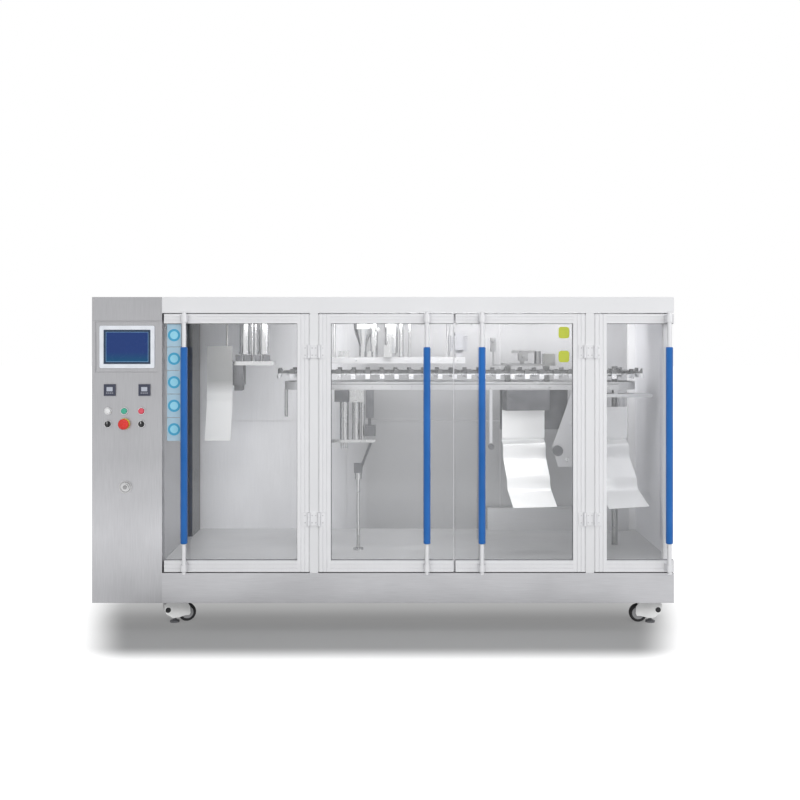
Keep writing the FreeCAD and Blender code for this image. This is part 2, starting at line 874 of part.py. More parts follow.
def make_hood():
    """The roof: a sheet tray, open below, over the posts."""
    body = add("PartDesign::Body", "hood")
    outer = sketch_on(body, "xy", "hood_outer", "hood_bottom")
    draw_outline(outer, [
        ("bay_left", "front_face"),
        ("right_end", "front_face"),
        ("right_end", "rear_face"),
        ("bay_left", "rear_face"),
    ])
    pad(body, outer, "hood_height", "hood_pad")
    inner = sketch_on(body, "xy", "hood_inner", "hood_bottom")
    draw_outline(inner, [
        ("bay_left + skin", "front_face + skin"),
        ("right_end - skin", "front_face + skin"),
        ("right_end - skin", "rear_face - skin"),
        ("bay_left + skin", "rear_face - skin"),
    ])
    pocket(body, inner, "hood_height - skin", "hood_hollow")
    Node.keep(body, "hood")


def make_panels():
    """Rear sheets in two rows between the uprights, and the sheet that closes the right end."""
    edges = ["bay_left", "middle_post_left + tube / 2", "middle_post_right + tube / 2",
             "right_end - skin - tube"]
    rows = [("deck_top", "panel_seam - panel_gap / 2"), ("panel_seam + panel_gap / 2", "hood_bottom")]
    pieces = []
    for row, (low, high) in enumerate(rows):
        for step in range(3):
            left = edges[step] if step == 0 else f"{edges[step]} + panel_gap / 2"
            right = edges[step + 1] if step == 2 else f"{edges[step + 1]} - panel_gap / 2"
            pieces.append(box(f"rear_panel_{row}_{step}", (left, "rear_lining", low),
                              (f"{right} - ({left})", "skin", f"{high} - ({low})")))
    Node.keep(fuse("rear_panels", pieces), "rear_panels")
    end = box("right_end_panel", ("right_lining", "frame_front", "skirt_top"),
              ("skin", "rear_face - skin - frame_front", "hood_bottom - skirt_top"))
    Node.keep(end, "right_end_panel")


# Control cabinet

def make_cabinet():
    """A sheet box, open at the front, and its cover with the sunk plate of the operator panel."""
    body = add("PartDesign::Body", "cabinet_shell")
    outer = sketch_on(body, "xz", "shell_outer", "front_face + skin")
    draw_outline(outer, [
        ("left_end", "ground_clearance"),
        ("bay_left", "ground_clearance"),
        ("bay_left", "overall_height"),
        ("left_end", "overall_height"),
    ])
    pad(body, outer, "rear_face - front_face - skin", "shell_pad")
    inner = sketch_on(body, "xz", "shell_inner", "front_face + skin")
    draw_outline(inner, [
        ("left_end + skin", "ground_clearance + skin"),
        ("bay_left - skin", "ground_clearance + skin"),
        ("bay_left - skin", "overall_height - skin"),
        ("left_end + skin", "overall_height - skin"),
    ])
    pocket(body, inner, "rear_face - front_face - 2 * skin", "shell_hollow")
    Node.keep(body, "cabinet_shell")

    cover = add("PartDesign::Body", "cover_sheet")
    face = sketch_on(cover, "xz", "cover_face", "front_face")
    draw_outline(face, [
        ("left_end", "ground_clearance"),
        ("bay_left", "ground_clearance"),
        ("bay_left", "overall_height"),
        ("left_end", "overall_height"),
    ])
    pad(cover, face, "skin", "cover_pad")
    window = sketch_on(cover, "xz", "cover_window", "front_face")
    draw_outline(window, window_outline("0"))
    pocket(cover, window, "skin", "window_cut")
    seam = sketch_on(cover, "xz", "cover_seam", "front_face")
    draw_outline(seam, [
        ("left_end - 1", "band_seam"),
        ("bay_left + 1", "band_seam"),
        ("bay_left + 1", "band_seam + panel_gap"),
        ("left_end - 1", "band_seam + panel_gap"),
    ])
    pocket(cover, seam, "skin / 2", "seam_cut")
    plate = padded("sunk_plate", "xz", window_outline("0"), "front_face + skin", "window_recess")
    tray = sketch_on(plate, "xz", "panel_tray", "front_face + skin")
    draw_outline(tray, window_outline("-skin"))
    pocket(plate, tray, "window_recess - skin", "tray_cut")
    Node.keep(fuse("cabinet_front", [cover, plate]), "cabinet_front")


def window_outline(margin):
    """The operator panel's window, larger by a margin on each side."""
    half = f"(window_width / 2 + {margin})"
    return [
        (f"window_middle - {half}", f"window_top - window_height - {margin}"),
        (f"window_middle + {half}", f"window_top - window_height - {margin}"),
        (f"window_middle + {half}", f"window_top + {margin}"),
        (f"window_middle - {half}", f"window_top + {margin}"),
    ]


def make_operator_panel():
    """The bezel on the sunk plate, and the screen in the bezel."""
    middle_z = "(window_top - window_height / 2)"
    rest = "front_face + window_recess"

    def centred(width, height):
        return [
            (f"window_middle - {width} / 2", f"{middle_z} - {height} / 2"),
            (f"window_middle + {width} / 2", f"{middle_z} - {height} / 2"),
            (f"window_middle + {width} / 2", f"{middle_z} + {height} / 2"),
            (f"window_middle - {width} / 2", f"{middle_z} + {height} / 2"),
        ]

    bezel = padded("hmi_bezel", "xz", centred("screen_bezel_width", "screen_bezel_height"),
                   f"{rest} - bezel_depth / 2", "bezel_depth / 2")
    round_uprights(bezel, "bezel_radius", "y")
    hole = sketch_on(bezel, "xz", "bezel_hole", f"{rest} - bezel_depth / 2")
    draw_outline(hole, centred("screen_width", "screen_height"))
    pocket(bezel, hole, "bezel_depth / 4", "bezel_recess")
    Node.keep(bezel, "hmi_bezel")
    screen = padded("hmi_screen", "xz", centred("(screen_width - 1)", "(screen_height - 1)"),
                    f"{rest} - bezel_depth / 4 - 1", "1")
    Node.keep(screen, "hmi_screen")


def make_controls():
    """Two temperature controllers, two rows of push buttons and switches, and the cover's lock."""
    controllers = []
    for where in ("controller_left", "controller_right"):
        block = box(f"{where}_case", (f"{where} - controller_size / 2", "front_face - controller_depth",
                                      "controller_height - controller_size / 2"),
                    ("controller_size", "controller_depth", "controller_size"))
        sunk = box(f"{where}_display", (f"{where} - controller_size / 2 + 5",
                                        "front_face - controller_depth - 1",
                                        "controller_height - controller_size / 2 + 5"),
                   ("controller_size - 10", "3", "controller_size - 10"))
        controllers.append(cut(f"{where}_unit", block, sunk))
    Node.keep(fuse("temperature_controllers", controllers), "temperature_controllers")

    rings = []
    caps = []
    columns = ("control_left", "control_middle", "control_right")
    for row in ("upper_row", "lower_row"):
        for column in columns:
            ring = rod(f"ring_{row}_{column}", (column, "front_face - ring_depth", row), "ring_radius",
                       "ring_depth", "y")
            rings.append(ring)
    for column in columns:
        caps.append(rod(f"cap_{column}", (column, "front_face - ring_depth - cap_depth", "upper_row"),
                        "cap_radius", "cap_depth", "y"))
    Node.keep(fuse("push_buttons", rings + caps), "push_buttons")

    stem = rod("stop_stem", ("control_middle", "front_face - ring_depth - stop_depth / 2", "lower_row"),
               "cap_radius", "stop_depth / 2", "y")
    head = cone("stop_head", ("control_middle", "front_face - ring_depth - stop_depth", "lower_row"),
                "stop_radius - 4", "stop_radius", "stop_depth / 2", "y")
    Node.keep(fuse("emergency_stop", [stem, head]), "emergency_stop")

    for side, column in (("left", "control_left"), ("right", "control_right")):
        name = f"selector_{side}"
        base = rod(f"{name}_base", (column, "front_face - ring_depth - seat_gap - 5", "lower_row"),
                   "cap_radius", "5", "y")
        blade = box(f"{name}_blade", (f"{column} - knob_width / 2",
                                      "front_face - ring_depth - seat_gap - knob_depth",
                                      "lower_row - knob_length / 2"),
                    ("knob_width", "knob_depth - 4", "knob_length"))
        Node.keep(fuse(name, [base, blade]), name)

    flange = rod("lock_flange", ("lock_place", "front_face - 6", "lock_height"), "lock_radius", "6", "y")
    barrel = rod("lock_barrel", ("lock_place", "front_face - 14", "lock_height"), "lock_radius / 2",
                 "10", "y")
    slot = box("lock_slot", ("lock_place - 1.5", "front_face - 15", "lock_height - 9"), ("3", "5", "18"))
    Node.keep(cut("cabinet_lock", fuse("lock_body", [flange, barrel]), slot), "cabinet_lock")


# Gripper line

def loop_point(distance):
    """A point of the chain's oval path and its heading, at a distance along it from the left tangent."""
    left = size("left_wheel")
    right = size("right_wheel")
    radius = size("wheel_radius")
    middle = size("line_middle")
    run = right - left
    bend = math.pi * radius
    distance = distance % (2 * run + 2 * bend)
    if distance < run:
        return Vector(left + distance, middle - radius, 0), 0.0
    distance -= run
    if distance < bend:
        angle = distance / radius
        return Vector(right + radius * math.sin(angle), middle - radius * math.cos(angle), 0), angle
    distance -= bend
    if distance < run:
        return Vector(right - distance, middle + radius, 0), math.pi
    angle = math.pi + (distance - run) / radius
    return Vector(left + radius * math.sin(angle), middle - radius * math.cos(angle), 0), angle


def link_shape(pitch):
    """One carrier of the chain: a link with a high and a low lug, and the hooked gripper that it bears."""
    tall = size("link_height")
    thick = size("link_thickness")
    gap = 0.5
    lug = thick * 1.3
    grip_half = 12
    half = pitch / 2

    def block(x0, x1, y0, y1, z0, z1):
        return Part.makeBox(x1 - x0, y1 - y0, z1 - z0, Vector(x0, y0, z0))

    plate = block(-half + lug + gap, half - lug - gap, -thick / 2, thick / 2, -tall / 2, tall / 2)
    low_lug = block(half - lug - gap, half + lug - gap, -thick / 2, thick / 2, -tall / 2, -gap / 2)
    high_lug = block(-half - lug + gap, -half + lug + gap, -thick / 2, thick / 2, gap / 2, tall / 2)
    hook = [(0, 6), (-30, 6), (-38, 22), (-44, 22), (-44, -10),
            (-52, -10), (-48, -30), (-40, -30), (-34, -6), (0, -6)]
    outline = [Vector(-grip_half, depth - thick / 2, height) for depth, height in hook]
    gripper = Part.Face(Part.makePolygon(outline + outline[:1])).extrude(Vector(2 * grip_half, 0, 0))
    return plate.multiFuse([low_lug, high_lug, gripper]).removeSplitter()


def make_chain():
    """The closed loop of carriers round the two turn wheels."""
    count = int(round(size("link_count")))
    length = 2 * (size("right_wheel") - size("left_wheel")) + 2 * math.pi * size("wheel_radius")
    pitch = length / count
    template = link_shape(pitch)
    links = []
    for step in range(count):
        spot, heading = loop_point((step + 0.5) * pitch)
        spot.z = size("chain_height")
        link = template.copy()
        link.Placement = FreeCAD.Placement(spot, Rotation(Vector(0, 0, 1), math.degrees(heading)))
        links.append(link)
    chain = add("Part::Feature", "gripper_chain")
    chain.Shape = Part.makeCompound(links)
    Node.keep(chain, "gripper_chain")


def make_turn_wheels():
    """Toothed wheels inside both ends of the loop, on upright shafts."""
    teeth = 24
    radius = size("wheel_radius") - size("link_thickness") / 2 - size("seat_gap")
    root = radius - 7
    thick = size("wheel_thickness")
    outline = []
    for step in range(teeth):
        for share, reach in ((0.0, root), (0.3, root), (0.45, radius), (0.7, radius), (0.85, root)):
            angle = 2 * math.pi * (step + share) / teeth
            outline.append(Vector(reach * math.cos(angle), reach * math.sin(angle), 0))
    outline.append(outline[0])
    disc = Part.Face(Part.makePolygon(outline)).extrude(Vector(0, 0, thick))
    hub = Part.makeCylinder(34, thick + 24, Vector(0, 0, -12))
    shaft_low = size("deck_top") - size("chain_height") + thick / 2
    shaft = Part.makeCylinder(16, -shaft_low + 40, Vector(0, 0, shaft_low))
    wheel = disc.multiFuse([hub, shaft]).removeSplitter()
    wheels = []
    for centre in ("left_wheel", "right_wheel"):
        spot = Vector(size(centre), size("line_middle"), size("chain_height") - thick / 2)
        copy = wheel.copy()
        copy.Placement = FreeCAD.Placement(spot, Rotation())
        wheels.append(copy)
    item = add("Part::Feature", "turn_wheels")
    item.Shape = Part.makeCompound(wheels)
    Node.keep(item, "turn_wheels")


def oval(name, radius, low, tall):
    """A solid with straight sides and round ends about both turn wheels."""
    block = box(f"{name}_block", ("left_wheel", f"line_middle - {radius}", low),
                ("right_wheel - left_wheel", f"2 * {radius}", tall))
    ends = [
        rod(f"{name}_{side}", (f"{side}_wheel", "line_middle", low), radius, tall)
        for side in ("left", "right")
    ]
    return fuse(name, [block] + ends)


def make_track():
    """The rail under the chain, the beam inside it, and the columns that carry both."""
    outer = oval("rail_outside", "(wheel_radius + rail_thickness / 2)", "rail_low", "rail_height")
    inner = oval("rail_inside", "(wheel_radius - rail_thickness / 2)", "rail_low - 1", "rail_height + 2")
    Node.keep(cut("guide_rail", outer, inner), "guide_rail")

    low = "rail_low + 6"
    tall = "rail_height - 12"
    reach = "(wheel_radius - rail_thickness / 2)"
    start = "left_wheel + wheel_radius"
    length = "(line_length - 2 * wheel_radius)"
    pieces = [box("spine", (start, "line_middle - tube", low), (length, "2 * tube", tall))]
    for step in range(6):
        corner = (f"{start} + {step} * ({length} - tube) / 5", f"line_middle - {reach}", low)
        pieces.append(box(f"tie_{step}", corner, ("tube", f"2 * {reach}", tall)))
    Node.keep(fuse("track_beam", pieces), "track_beam")

    columns = []
    for side in ("left", "right"):
        where = f"column_{side}"
        corner = (f"{where} - column / 2", "line_middle - column / 2", "deck_top + 10")
        columns.append(box(f"{where}_tube", corner, ("column", "column", f"{low} - deck_top - 10")))
        columns.append(box(f"{where}_foot", (f"{where} - column / 2", "line_middle - column", "deck_top"),
                           ("column", "2 * column", "10")))
    Node.keep(fuse("support_columns", columns), "support_columns")


def make_sealing_station():
    """Two upright cylinders and their guide rods on a plate, with the sealing jaws below it."""
    top = "sealing_plate_height + sealing_plate_thickness"
    middle = "((sealing_left + sealing_right) / 2)"
    left_edge = f"{middle} - sealing_plate_width / 2"
    cylinders = []
    for side in ("left", "right"):
        where = f"sealing_{side}"
        barrel_low = f"{top} + 38"
        cylinders.append(rod(f"{where}_barrel", (where, "chain_front", barrel_low), "sealing_cylinder",
                             f"hanger_low - ({barrel_low})"))
        spot = (where, "chain_front", barrel_low)
        cylinders.append(rod(f"{where}_collar", spot, "sealing_cylinder + 4", "14"))
        cylinders.append(rod(f"{where}_piston", (where, "chain_front", top), "sealing_cylinder / 3", "40"))
    for step, shift in enumerate(("-9", "9")):
        cylinders.append(rod(f"sealing_guide_{step}", (f"{middle} + {shift}", "chain_front - 24", top), "6",
                             f"hanger_low - ({top})"))
    cylinders.append(box("sealing_plate", (left_edge, "chain_front - 60", "sealing_plate_height"),
                         ("sealing_plate_width", "120", "sealing_plate_thickness")))
    Node.keep(fuse("sealing_cylinders", cylinders), "sealing_cylinders")
    jaws = []
    for step, shift in enumerate(("-58", "8")):
        corner = (left_edge, f"chain_front + {shift}", "sealing_plate_height - jaw_drop")
        jaws.append(box(f"jaw_{step}", corner, ("jaw_length", "50", "jaw_drop")))
        jaws.append(box(f"jaw_bar_{step}", (f"{left_edge} + 6", f"chain_front + {shift} + 15",
                                            "sealing_plate_height - jaw_drop - 28"),
                        ("jaw_length - 12", "20", "28")))
    for step in range(4):
        jaws.append(box(f"valve_{step}", (f"{left_edge} + 14 + {step} * 50", "chain_front - 58", top),
                        ("30", "26", "34")))
    Node.keep(fuse("sealing_jaws", jaws), "sealing_jaws")


def bent_sheet(bends, corner_radius, thickness, left, width):
    """A folded sheet: a path of (depth, height) points with rounded folds, thickened and grown along X."""
    points = [Vector(left, depth, height) for depth, height in bends]
    edges = []
    start = points[0]
    for i in range(1, len(points) - 1):
        last_run = (points[i - 1] - points[i]).Length
        next_run = (points[i + 1] - points[i]).Length
        to_last = (points[i - 1] - points[i]).normalize()
        to_next = (points[i + 1] - points[i]).normalize()
        half = to_last.getAngle(to_next) / 2
        radius = min(corner_radius, 0.45 * min(last_run, next_run) * math.tan(half))
        back = radius / math.tan(half)
        first = points[i] + to_last * back
        last = points[i] + to_next * back
        centre = points[i] + (to_last + to_next).normalize() * (radius / math.sin(half))
        middle = centre + (points[i] - centre).normalize() * radius
        edges.append(Part.LineSegment(start, first).toShape())
        edges.append(Part.Arc(first, middle, last).toShape())
        start = last
    edges.append(Part.LineSegment(start, points[-1]).toShape())
    face = Part.Wire(edges).makeOffset2D(thickness, 2, True, True)
    return face.extrude(Vector(width, 0, 0))


def make_guard():
    """The bent outfeed plate beside the sealing station, on its hanging rod."""
    depth = size("front_face") + size("guard_depth")
    tilt = 70.0
    guard = add("Part::Feature", "guard_sheet")
    guard.Shape = bent_sheet([
        (depth, size("guard_top")),
        (depth, size("guard_bend")),
        (depth - tilt, size("guard_bottom")),
    ], 60.0, size("chute_sheet"), size("guard_left"), size("guard_width"))
    hook_x = "guard_left + guard_width - 29"
    hanger = rod("guard_hanger", (hook_x, "front_face + guard_depth + 4", "guard_top - 40"), "5",
                 "hanger_low - guard_top + 40")
    arm = box("guard_arm", (f"{hook_x} - 8", "front_face + guard_depth", "hanger_low - 12"),
              ("16", "chain_front - hanger_width / 2 - front_face - guard_depth + 10", "12"))
    Node.keep(fuse("outfeed_guard", [guard, hanger, arm]), "outfeed_guard")


def make_duct():
    duct = box("cable_duct", ("bay_left", "duct_front", "deck_top"),
               ("duct_depth", "duct_width", "hanger_low - deck_top"))
    Node.keep(duct, "cable_duct")


def make_filling_station():
    """The plate over the grippers with the filling heads, the funnel and the coder that stand on it."""
    beam = box("filling_plate", ("beam_left", "chain_front - beam_width / 2", "beam_height"),
               ("beam_right - beam_left", "beam_width", "beam_thickness"))
    tall = "hanger_low - beam_top"
    hangers = [rod(f"plate_hanger_{step}", (where, "chain_front + 22", "beam_top"), "8", tall)
               for step, where in enumerate(("beam_left + 16", "beam_right - 90", "filler_large + 58"))]
    Node.keep(fuse("station_beam", [beam] + hangers), "station_beam")

    heads = [
        rod("small_head", ("filler_small", "chain_front", "beam_top"), "21", tall),
        rod("large_head", ("filler_large", "chain_front - 6", "beam_top + 24"), "36", f"{tall} - 24"),
        cone("large_nozzle", ("filler_large", "chain_front - 6", "beam_top"), "16", "30", "24"),
        rod("thin_head", ("filler_large + 52", "chain_front - 10", "beam_top"), "10", tall),
        rod("thin_pipe", ("filler_large + 98", "chain_front", "beam_top"), "8", tall),
        cone("funnel_cone", ("funnel_place", "chain_front", "beam_top + 60"), "funnel_spout",
             "funnel_mouth", "90"),
        rod("funnel_spout", ("funnel_place", "chain_front", "beam_top"), "funnel_spout", "60"),
        rod("funnel_rim", ("funnel_place", "chain_front", "beam_top + 150"), "funnel_mouth",
            f"{tall} - 150"),
    ]
    fittings = [
        box("head_valve", ("filler_large - 38", "chain_front - 66", "beam_top"), ("42", "28", "64")),
        rod("head_knob", ("filler_small + 22", "chain_front - 44", "beam_top + 146"), "10", "34", "y"),
        box("plate_valve_0", ("beam_left + 38", "chain_front - 40", "beam_top"), ("60", "40", "34")),
        box("plate_valve_1", ("funnel_place + 26", "chain_front - 44", "beam_top"), ("20", "22", "30")),
    ]
    Node.keep(fuse("filling_heads", heads + fittings), "filling_heads")
    coder = [
        box("coder_case", ("coder_place - 22", "chain_front - 36", "beam_top + 38"), ("44", "90", "92")),
        box("coder_side", ("coder_place - 45", "chain_front - 20", "beam_top + 30"), ("90", "60", "84")),
        box("coder_foot", ("coder_place - 16", "chain_front - 16", "beam_top"), ("32", "40", "38")),
    ]
    Node.keep(fuse("date_coder", coder), "date_coder")


def make_opening_station():
    """Suction arms that open the pouches, on two uprights from the track beam."""
    middle = "((opener_left + opener_right) / 2)"
    pieces = []
    for step, where in enumerate(("opener_left + 20", "opener_right - 50")):
        pieces.append(box(f"opener_post_{step}", (where, "line_middle - 30", "rail_low + rail_height - 6"),
                          ("30", "30", "opener_height - rail_low - rail_height + 6")))
    pieces.append(box("opener_plate", ("opener_left", "chain_front - 20", "opener_height"),
                      ("opener_right - opener_left", "line_middle - chain_front + 20", "12")))
    pieces.append(box("opener_head", (f"{middle} - 60", "chain_front - 70", "opener_height + 28"),
                      ("46", "80", "40")))
    pieces.append(box("opener_head_foot", (f"{middle} - 48", "chain_front - 10", "opener_height + 12"),
                      ("22", "20", "16")))
    pieces.append(box("opener_cross", (f"{middle} - 96", "chain_front - 64", "opener_height + 68"),
                      ("118", "24", "14")))
    pieces.append(rod("opener_cylinder", (f"{middle} + 44", "chain_front - 14", "opener_height + 12"),
                      "17", "66"))
    pieces.append(rod("opener_cup_rod", (f"{middle} - 37", "chain_front - 90", "opener_height + 48"),
                      "7", "20", "y"))
    pieces.append(box("opener_block", (f"{middle} + 74", "chain_front - 30", "opener_height + 12"),
                      ("62", "60", "52")))
    sensor = [
        box("sensor_head", ("opener_left - 66", "chain_front - 20", "opener_height + 75"),
            ("27", "40", "72")),
        box("sensor_arm", ("opener_left - 56", "chain_front - 4", "opener_height"), ("8", "8", "75")),
        box("sensor_foot", ("opener_left - 56", "chain_front - 8", "opener_height"), ("56", "16", "8")),
    ]
    Node.keep(fuse("opening_station", pieces + sensor), "opening_station")


def make_lift_unit():
    """The pouch lift under the filling heads: valves on the rail over two cylinders and a strut."""
    top = "rail_low"
    front = "chain_front"
    fork = Part.makeBox(44, 26, 50, Vector(size("lift_place") + 2, size(front) - 43, size("lift_foot") + 32))
    low = Vector(size("lift_place") + 40, size(front) - 30, size("lift_foot") + 62)
    high = Vector(size("lift_place") + 90, size(front) - 30, size(top) - 279)
    run = high - low
    link = add("Part::Feature", "lift_link")
    link.Shape = Part.makeCylinder(7, run.Length, low, run).fuse(fork).removeSplitter()
    blocks = [
        box("lift_bracket", ("lift_place - 100", f"{front} - 60", f"{top} - 60"), ("76", "70", "60")),
        box("lift_side", ("lift_place + 64", f"{front} - 40", f"{top} - 146"), ("42", "50", "146")),
        box("lift_valve", ("lift_place + 60", f"{front} - 70", f"{top} - 240"), ("56", "60", "56")),
        box("lift_arm", ("lift_place + 76", f"{front} - 30", f"{top} - 184"), ("16", "20", "40")),
        link,
    ]
    Node.keep(fuse("lift_unit", blocks), "lift_unit")

    bar = f"{top} - 262"
    strut_y = f"{front} - 30"
    rods = [
        box("lift_block", ("lift_place - 18", f"{front} - 66", f"{top} - 62"), ("74", "60", "62")),
        rod("lift_cylinder_0", ("lift_place - 50", strut_y, bar), "23", "202"),
        rod("lift_cylinder_1", ("lift_place + 12", strut_y, bar), "20", "200"),
        rod("lift_rod", ("lift_place + 48", f"{front} - 40", bar), "9", "200"),
        box("lift_bar", ("lift_place - 120", f"{front} - 46", f"{top} - 276"), ("236", "32", "16")),
        rod("lift_pin_0", ("lift_place - 62", strut_y, f"{top} - 306"), "7", "32"),
        rod("lift_pin_1", ("lift_place - 40", strut_y, f"{top} - 306"), "7", "32"),
        rod("rail_probe", ("left_wheel - wheel_radius", "line_middle", f"{top} - 150"), "9", "150"),
        rod("strut_tube", ("lift_place + 24", strut_y, "deck_top"), "strut_radius", "lift_foot - deck_top"),
        rod("strut_base", ("lift_place + 24", strut_y, "deck_top"), "3 * strut_radius", "8"),
        rod("strut_flange", ("lift_place + 24", strut_y, "lift_foot"), "2 * strut_radius", "32"),
    ]
    Node.keep(fuse("lift_cylinders", rods), "lift_cylinders")


WAVE = [(0.0, 0.0), (0.0, 0.333), (-0.06, 0.347), (0.1, 0.4), (0.085, 0.52),
        (0.44, 0.735), (0.47, 0.84), (1.0, 1.0)]


def wave_path():
    """The chute's side view: a hanging plate, a fold, and a slide that comes forward in two waves."""
    return [
        (size("chute_back") - forward * size("chute_reach"), size("chute_top") - down * size("chute_fall"))
        for forward, down in WAVE
    ]


def turned_shape(name, shape, edge, angle):
    """A shape turned about an upright line at the chute's right edge."""
    item = add("Part::Feature", name)
    item.Shape = shape
    spot = Vector(edge, size("chute_back"), 0)
    item.Placement = FreeCAD.Placement(Vector(), Rotation(Vector(0, 0, 1), angle), spot)
    return item


def make_chutes():
    """Two wavy sheet slides under the right half of the line, each turned a little about its right edge."""
    width = size("chute_width")
    low = size("chute_top") - 14
    back = size("chute_back")
    slides = []
    for side in ("left", "right"):
        edge = size(f"chute_edge_{side}")
        sheet_shape = bent_sheet(wave_path(), 60.0, size("chute_sheet"), edge - width, width)
        slides.append(turned_shape(f"chute_{side}", sheet_shape, edge, size(f"chute_yaw_{side}")))
    Node.keep(fuse("pouch_chutes", slides), "pouch_chutes")

    edge = size("chute_edge_left")
    depth = size("chute_box_depth")
    corner = Vector(edge - width, back - size("chute_sheet") - depth, low)
    left_box = Part.makeBox(width, depth, size("rail_low") - low, corner)
    backing_corner = ("chute_edge_left - chute_width", "chute_back + 4", "rail_low + 6 - backing_height")
    backing = box("chute_backing", backing_corner, ("backing_width", "backing_depth", "backing_height"))
    boxes = [turned_shape("chute_box", left_box, edge, size("chute_yaw_left")), backing]
    Node.keep(fuse("chute_boxes", boxes + make_knobs()), "chute_boxes")


def make_chute_tray():
    """The level tray that carries the right chute: two straps up to the rail and two down to the sheet."""
    tray_low = size("rail_low") - size("tray_drop") - size("tray_height")
    edge = size("chute_edge_right")
    pieces = [
        box("chute_tray", ("chute_edge_right - chute_width", "chute_back + 18 - tray_depth",
                           "rail_low - tray_drop - tray_height"),
            ("chute_width + tray_overhang", "tray_depth", "tray_height"))
    ]
    for step, shift in enumerate(("40", "chute_width - 80")):
        corner = (f"chute_edge_right - chute_width + {shift}", "chain_front - 3", "rail_low - tray_drop")
        pieces.append(box(f"tray_strap_{step}", corner, ("20", "6", "tray_drop")))
    for step, inset in enumerate((40.0, 14.0)):
        tall = tray_low - size("chute_top") + 30
        corner = Vector(edge - inset - 10, size("chute_back"), size("chute_top") - 30)
        strap = Part.makeBox(10, 4, tall, corner)
        pieces.append(turned_shape(f"chute_strap_{step}", strap, edge, size("chute_yaw_right")))
    return pieces


def make_knobs():
    """The round knobs of the side plate and of the hanger beside the left chute."""
    plate_front = "chain_front - side_plate_thickness / 2"
    return [
        rod("plate_knob", ("chute_edge_left + 62", f"{plate_front} - 30", "rail_low - 322"),
            "chute_knob_radius", "30", "y"),
        rod("hanger_knob", ("opener_left - 64", "chain_front - 26", "rail_low - 300"),
            "0.6 * chute_knob_radius", "18", "y"),
    ]


def make_side_plates():
    """The pale plate between the chutes, the hanger at the left one and the tray over the right one."""
    across = "chute_edge_left"
    outline = [
        (f"{across} + 145", "rail_low"),
        (f"{across} + 207", "rail_low"),
        (f"{across} + 207", "rail_low - 409"),
        (f"{across} + 66", "rail_low - 409"),
        (f"{across} + 36", "rail_low - 301"),
        (f"{across} + 125", "rail_low - 48"),
    ]
    plate = padded("side_plate", "xz", outline, "chain_front - side_plate_thickness / 2",
                   "side_plate_thickness")
    hanger = box("chute_hanger", ("opener_left - 72", "chain_front - 8", "rail_low - 316"),
                 ("16", "16", "316"))
    Node.keep(fuse("chute_side_plates", [plate, hanger] + make_chute_tray()), "chute_side_plates")


def make_trough():
    trough = box("waste_trough", ("trough_left", "trough_front", "deck_top"),
                 ("trough_right - trough_left", "trough_width", "trough_height"))
    Node.keep(trough, "waste_trough")


# Casters

CASTERS = ("front_left", "front_right", "rear_left", "rear_right")


def caster_spot(name):
    """The swivel axis of a caster as formulas."""
    end, side = name.split("_")
    return f"caster_{side}", f"{end}_caster"


def turn_to_heading(item, name):
    """Stand a caster's moving piece at its swivel axis, turned to its heading."""
    x, y = caster_spot(name)
    item.Placement = FreeCAD.Placement(Vector(), Rotation(Vector(0, 0, 1), 1))
    bind(item, {
        "Placement.Base.x": x,
        "Placement.Base.y": y,
        "Placement.Rotation.Angle": f"heading_{name}",
    })


def make_caster_mounts():
    """Top plates bolted under the chassis, each with a threaded stem and a foot pad."""
    pieces = []
    for name in CASTERS:
        x, y = caster_spot(name)
        corner = (f"{x} - plate_size / 2", f"{y} - plate_size / 2", "swivel_height")
        pieces.append(box(f"{name}_plate", corner, ("plate_size", "plate_size", "plate_thickness")))
        pieces.append(rod(f"{name}_stem", (x, y, "pad_height / 2"), "stem_radius",
                          "swivel_height - pad_height / 2"))
        pieces.append(rod(f"{name}_pad", (x, y, "0"), "pad_radius", "pad_height * 0.6"))
        pieces.append(cone(f"{name}_cone", (x, y, "pad_height * 0.6"), "pad_radius", "stem_radius + 3",
                           "pad_height * 0.4"))
    Node.keep(fuse("caster_mounts", pieces), "caster_mounts")


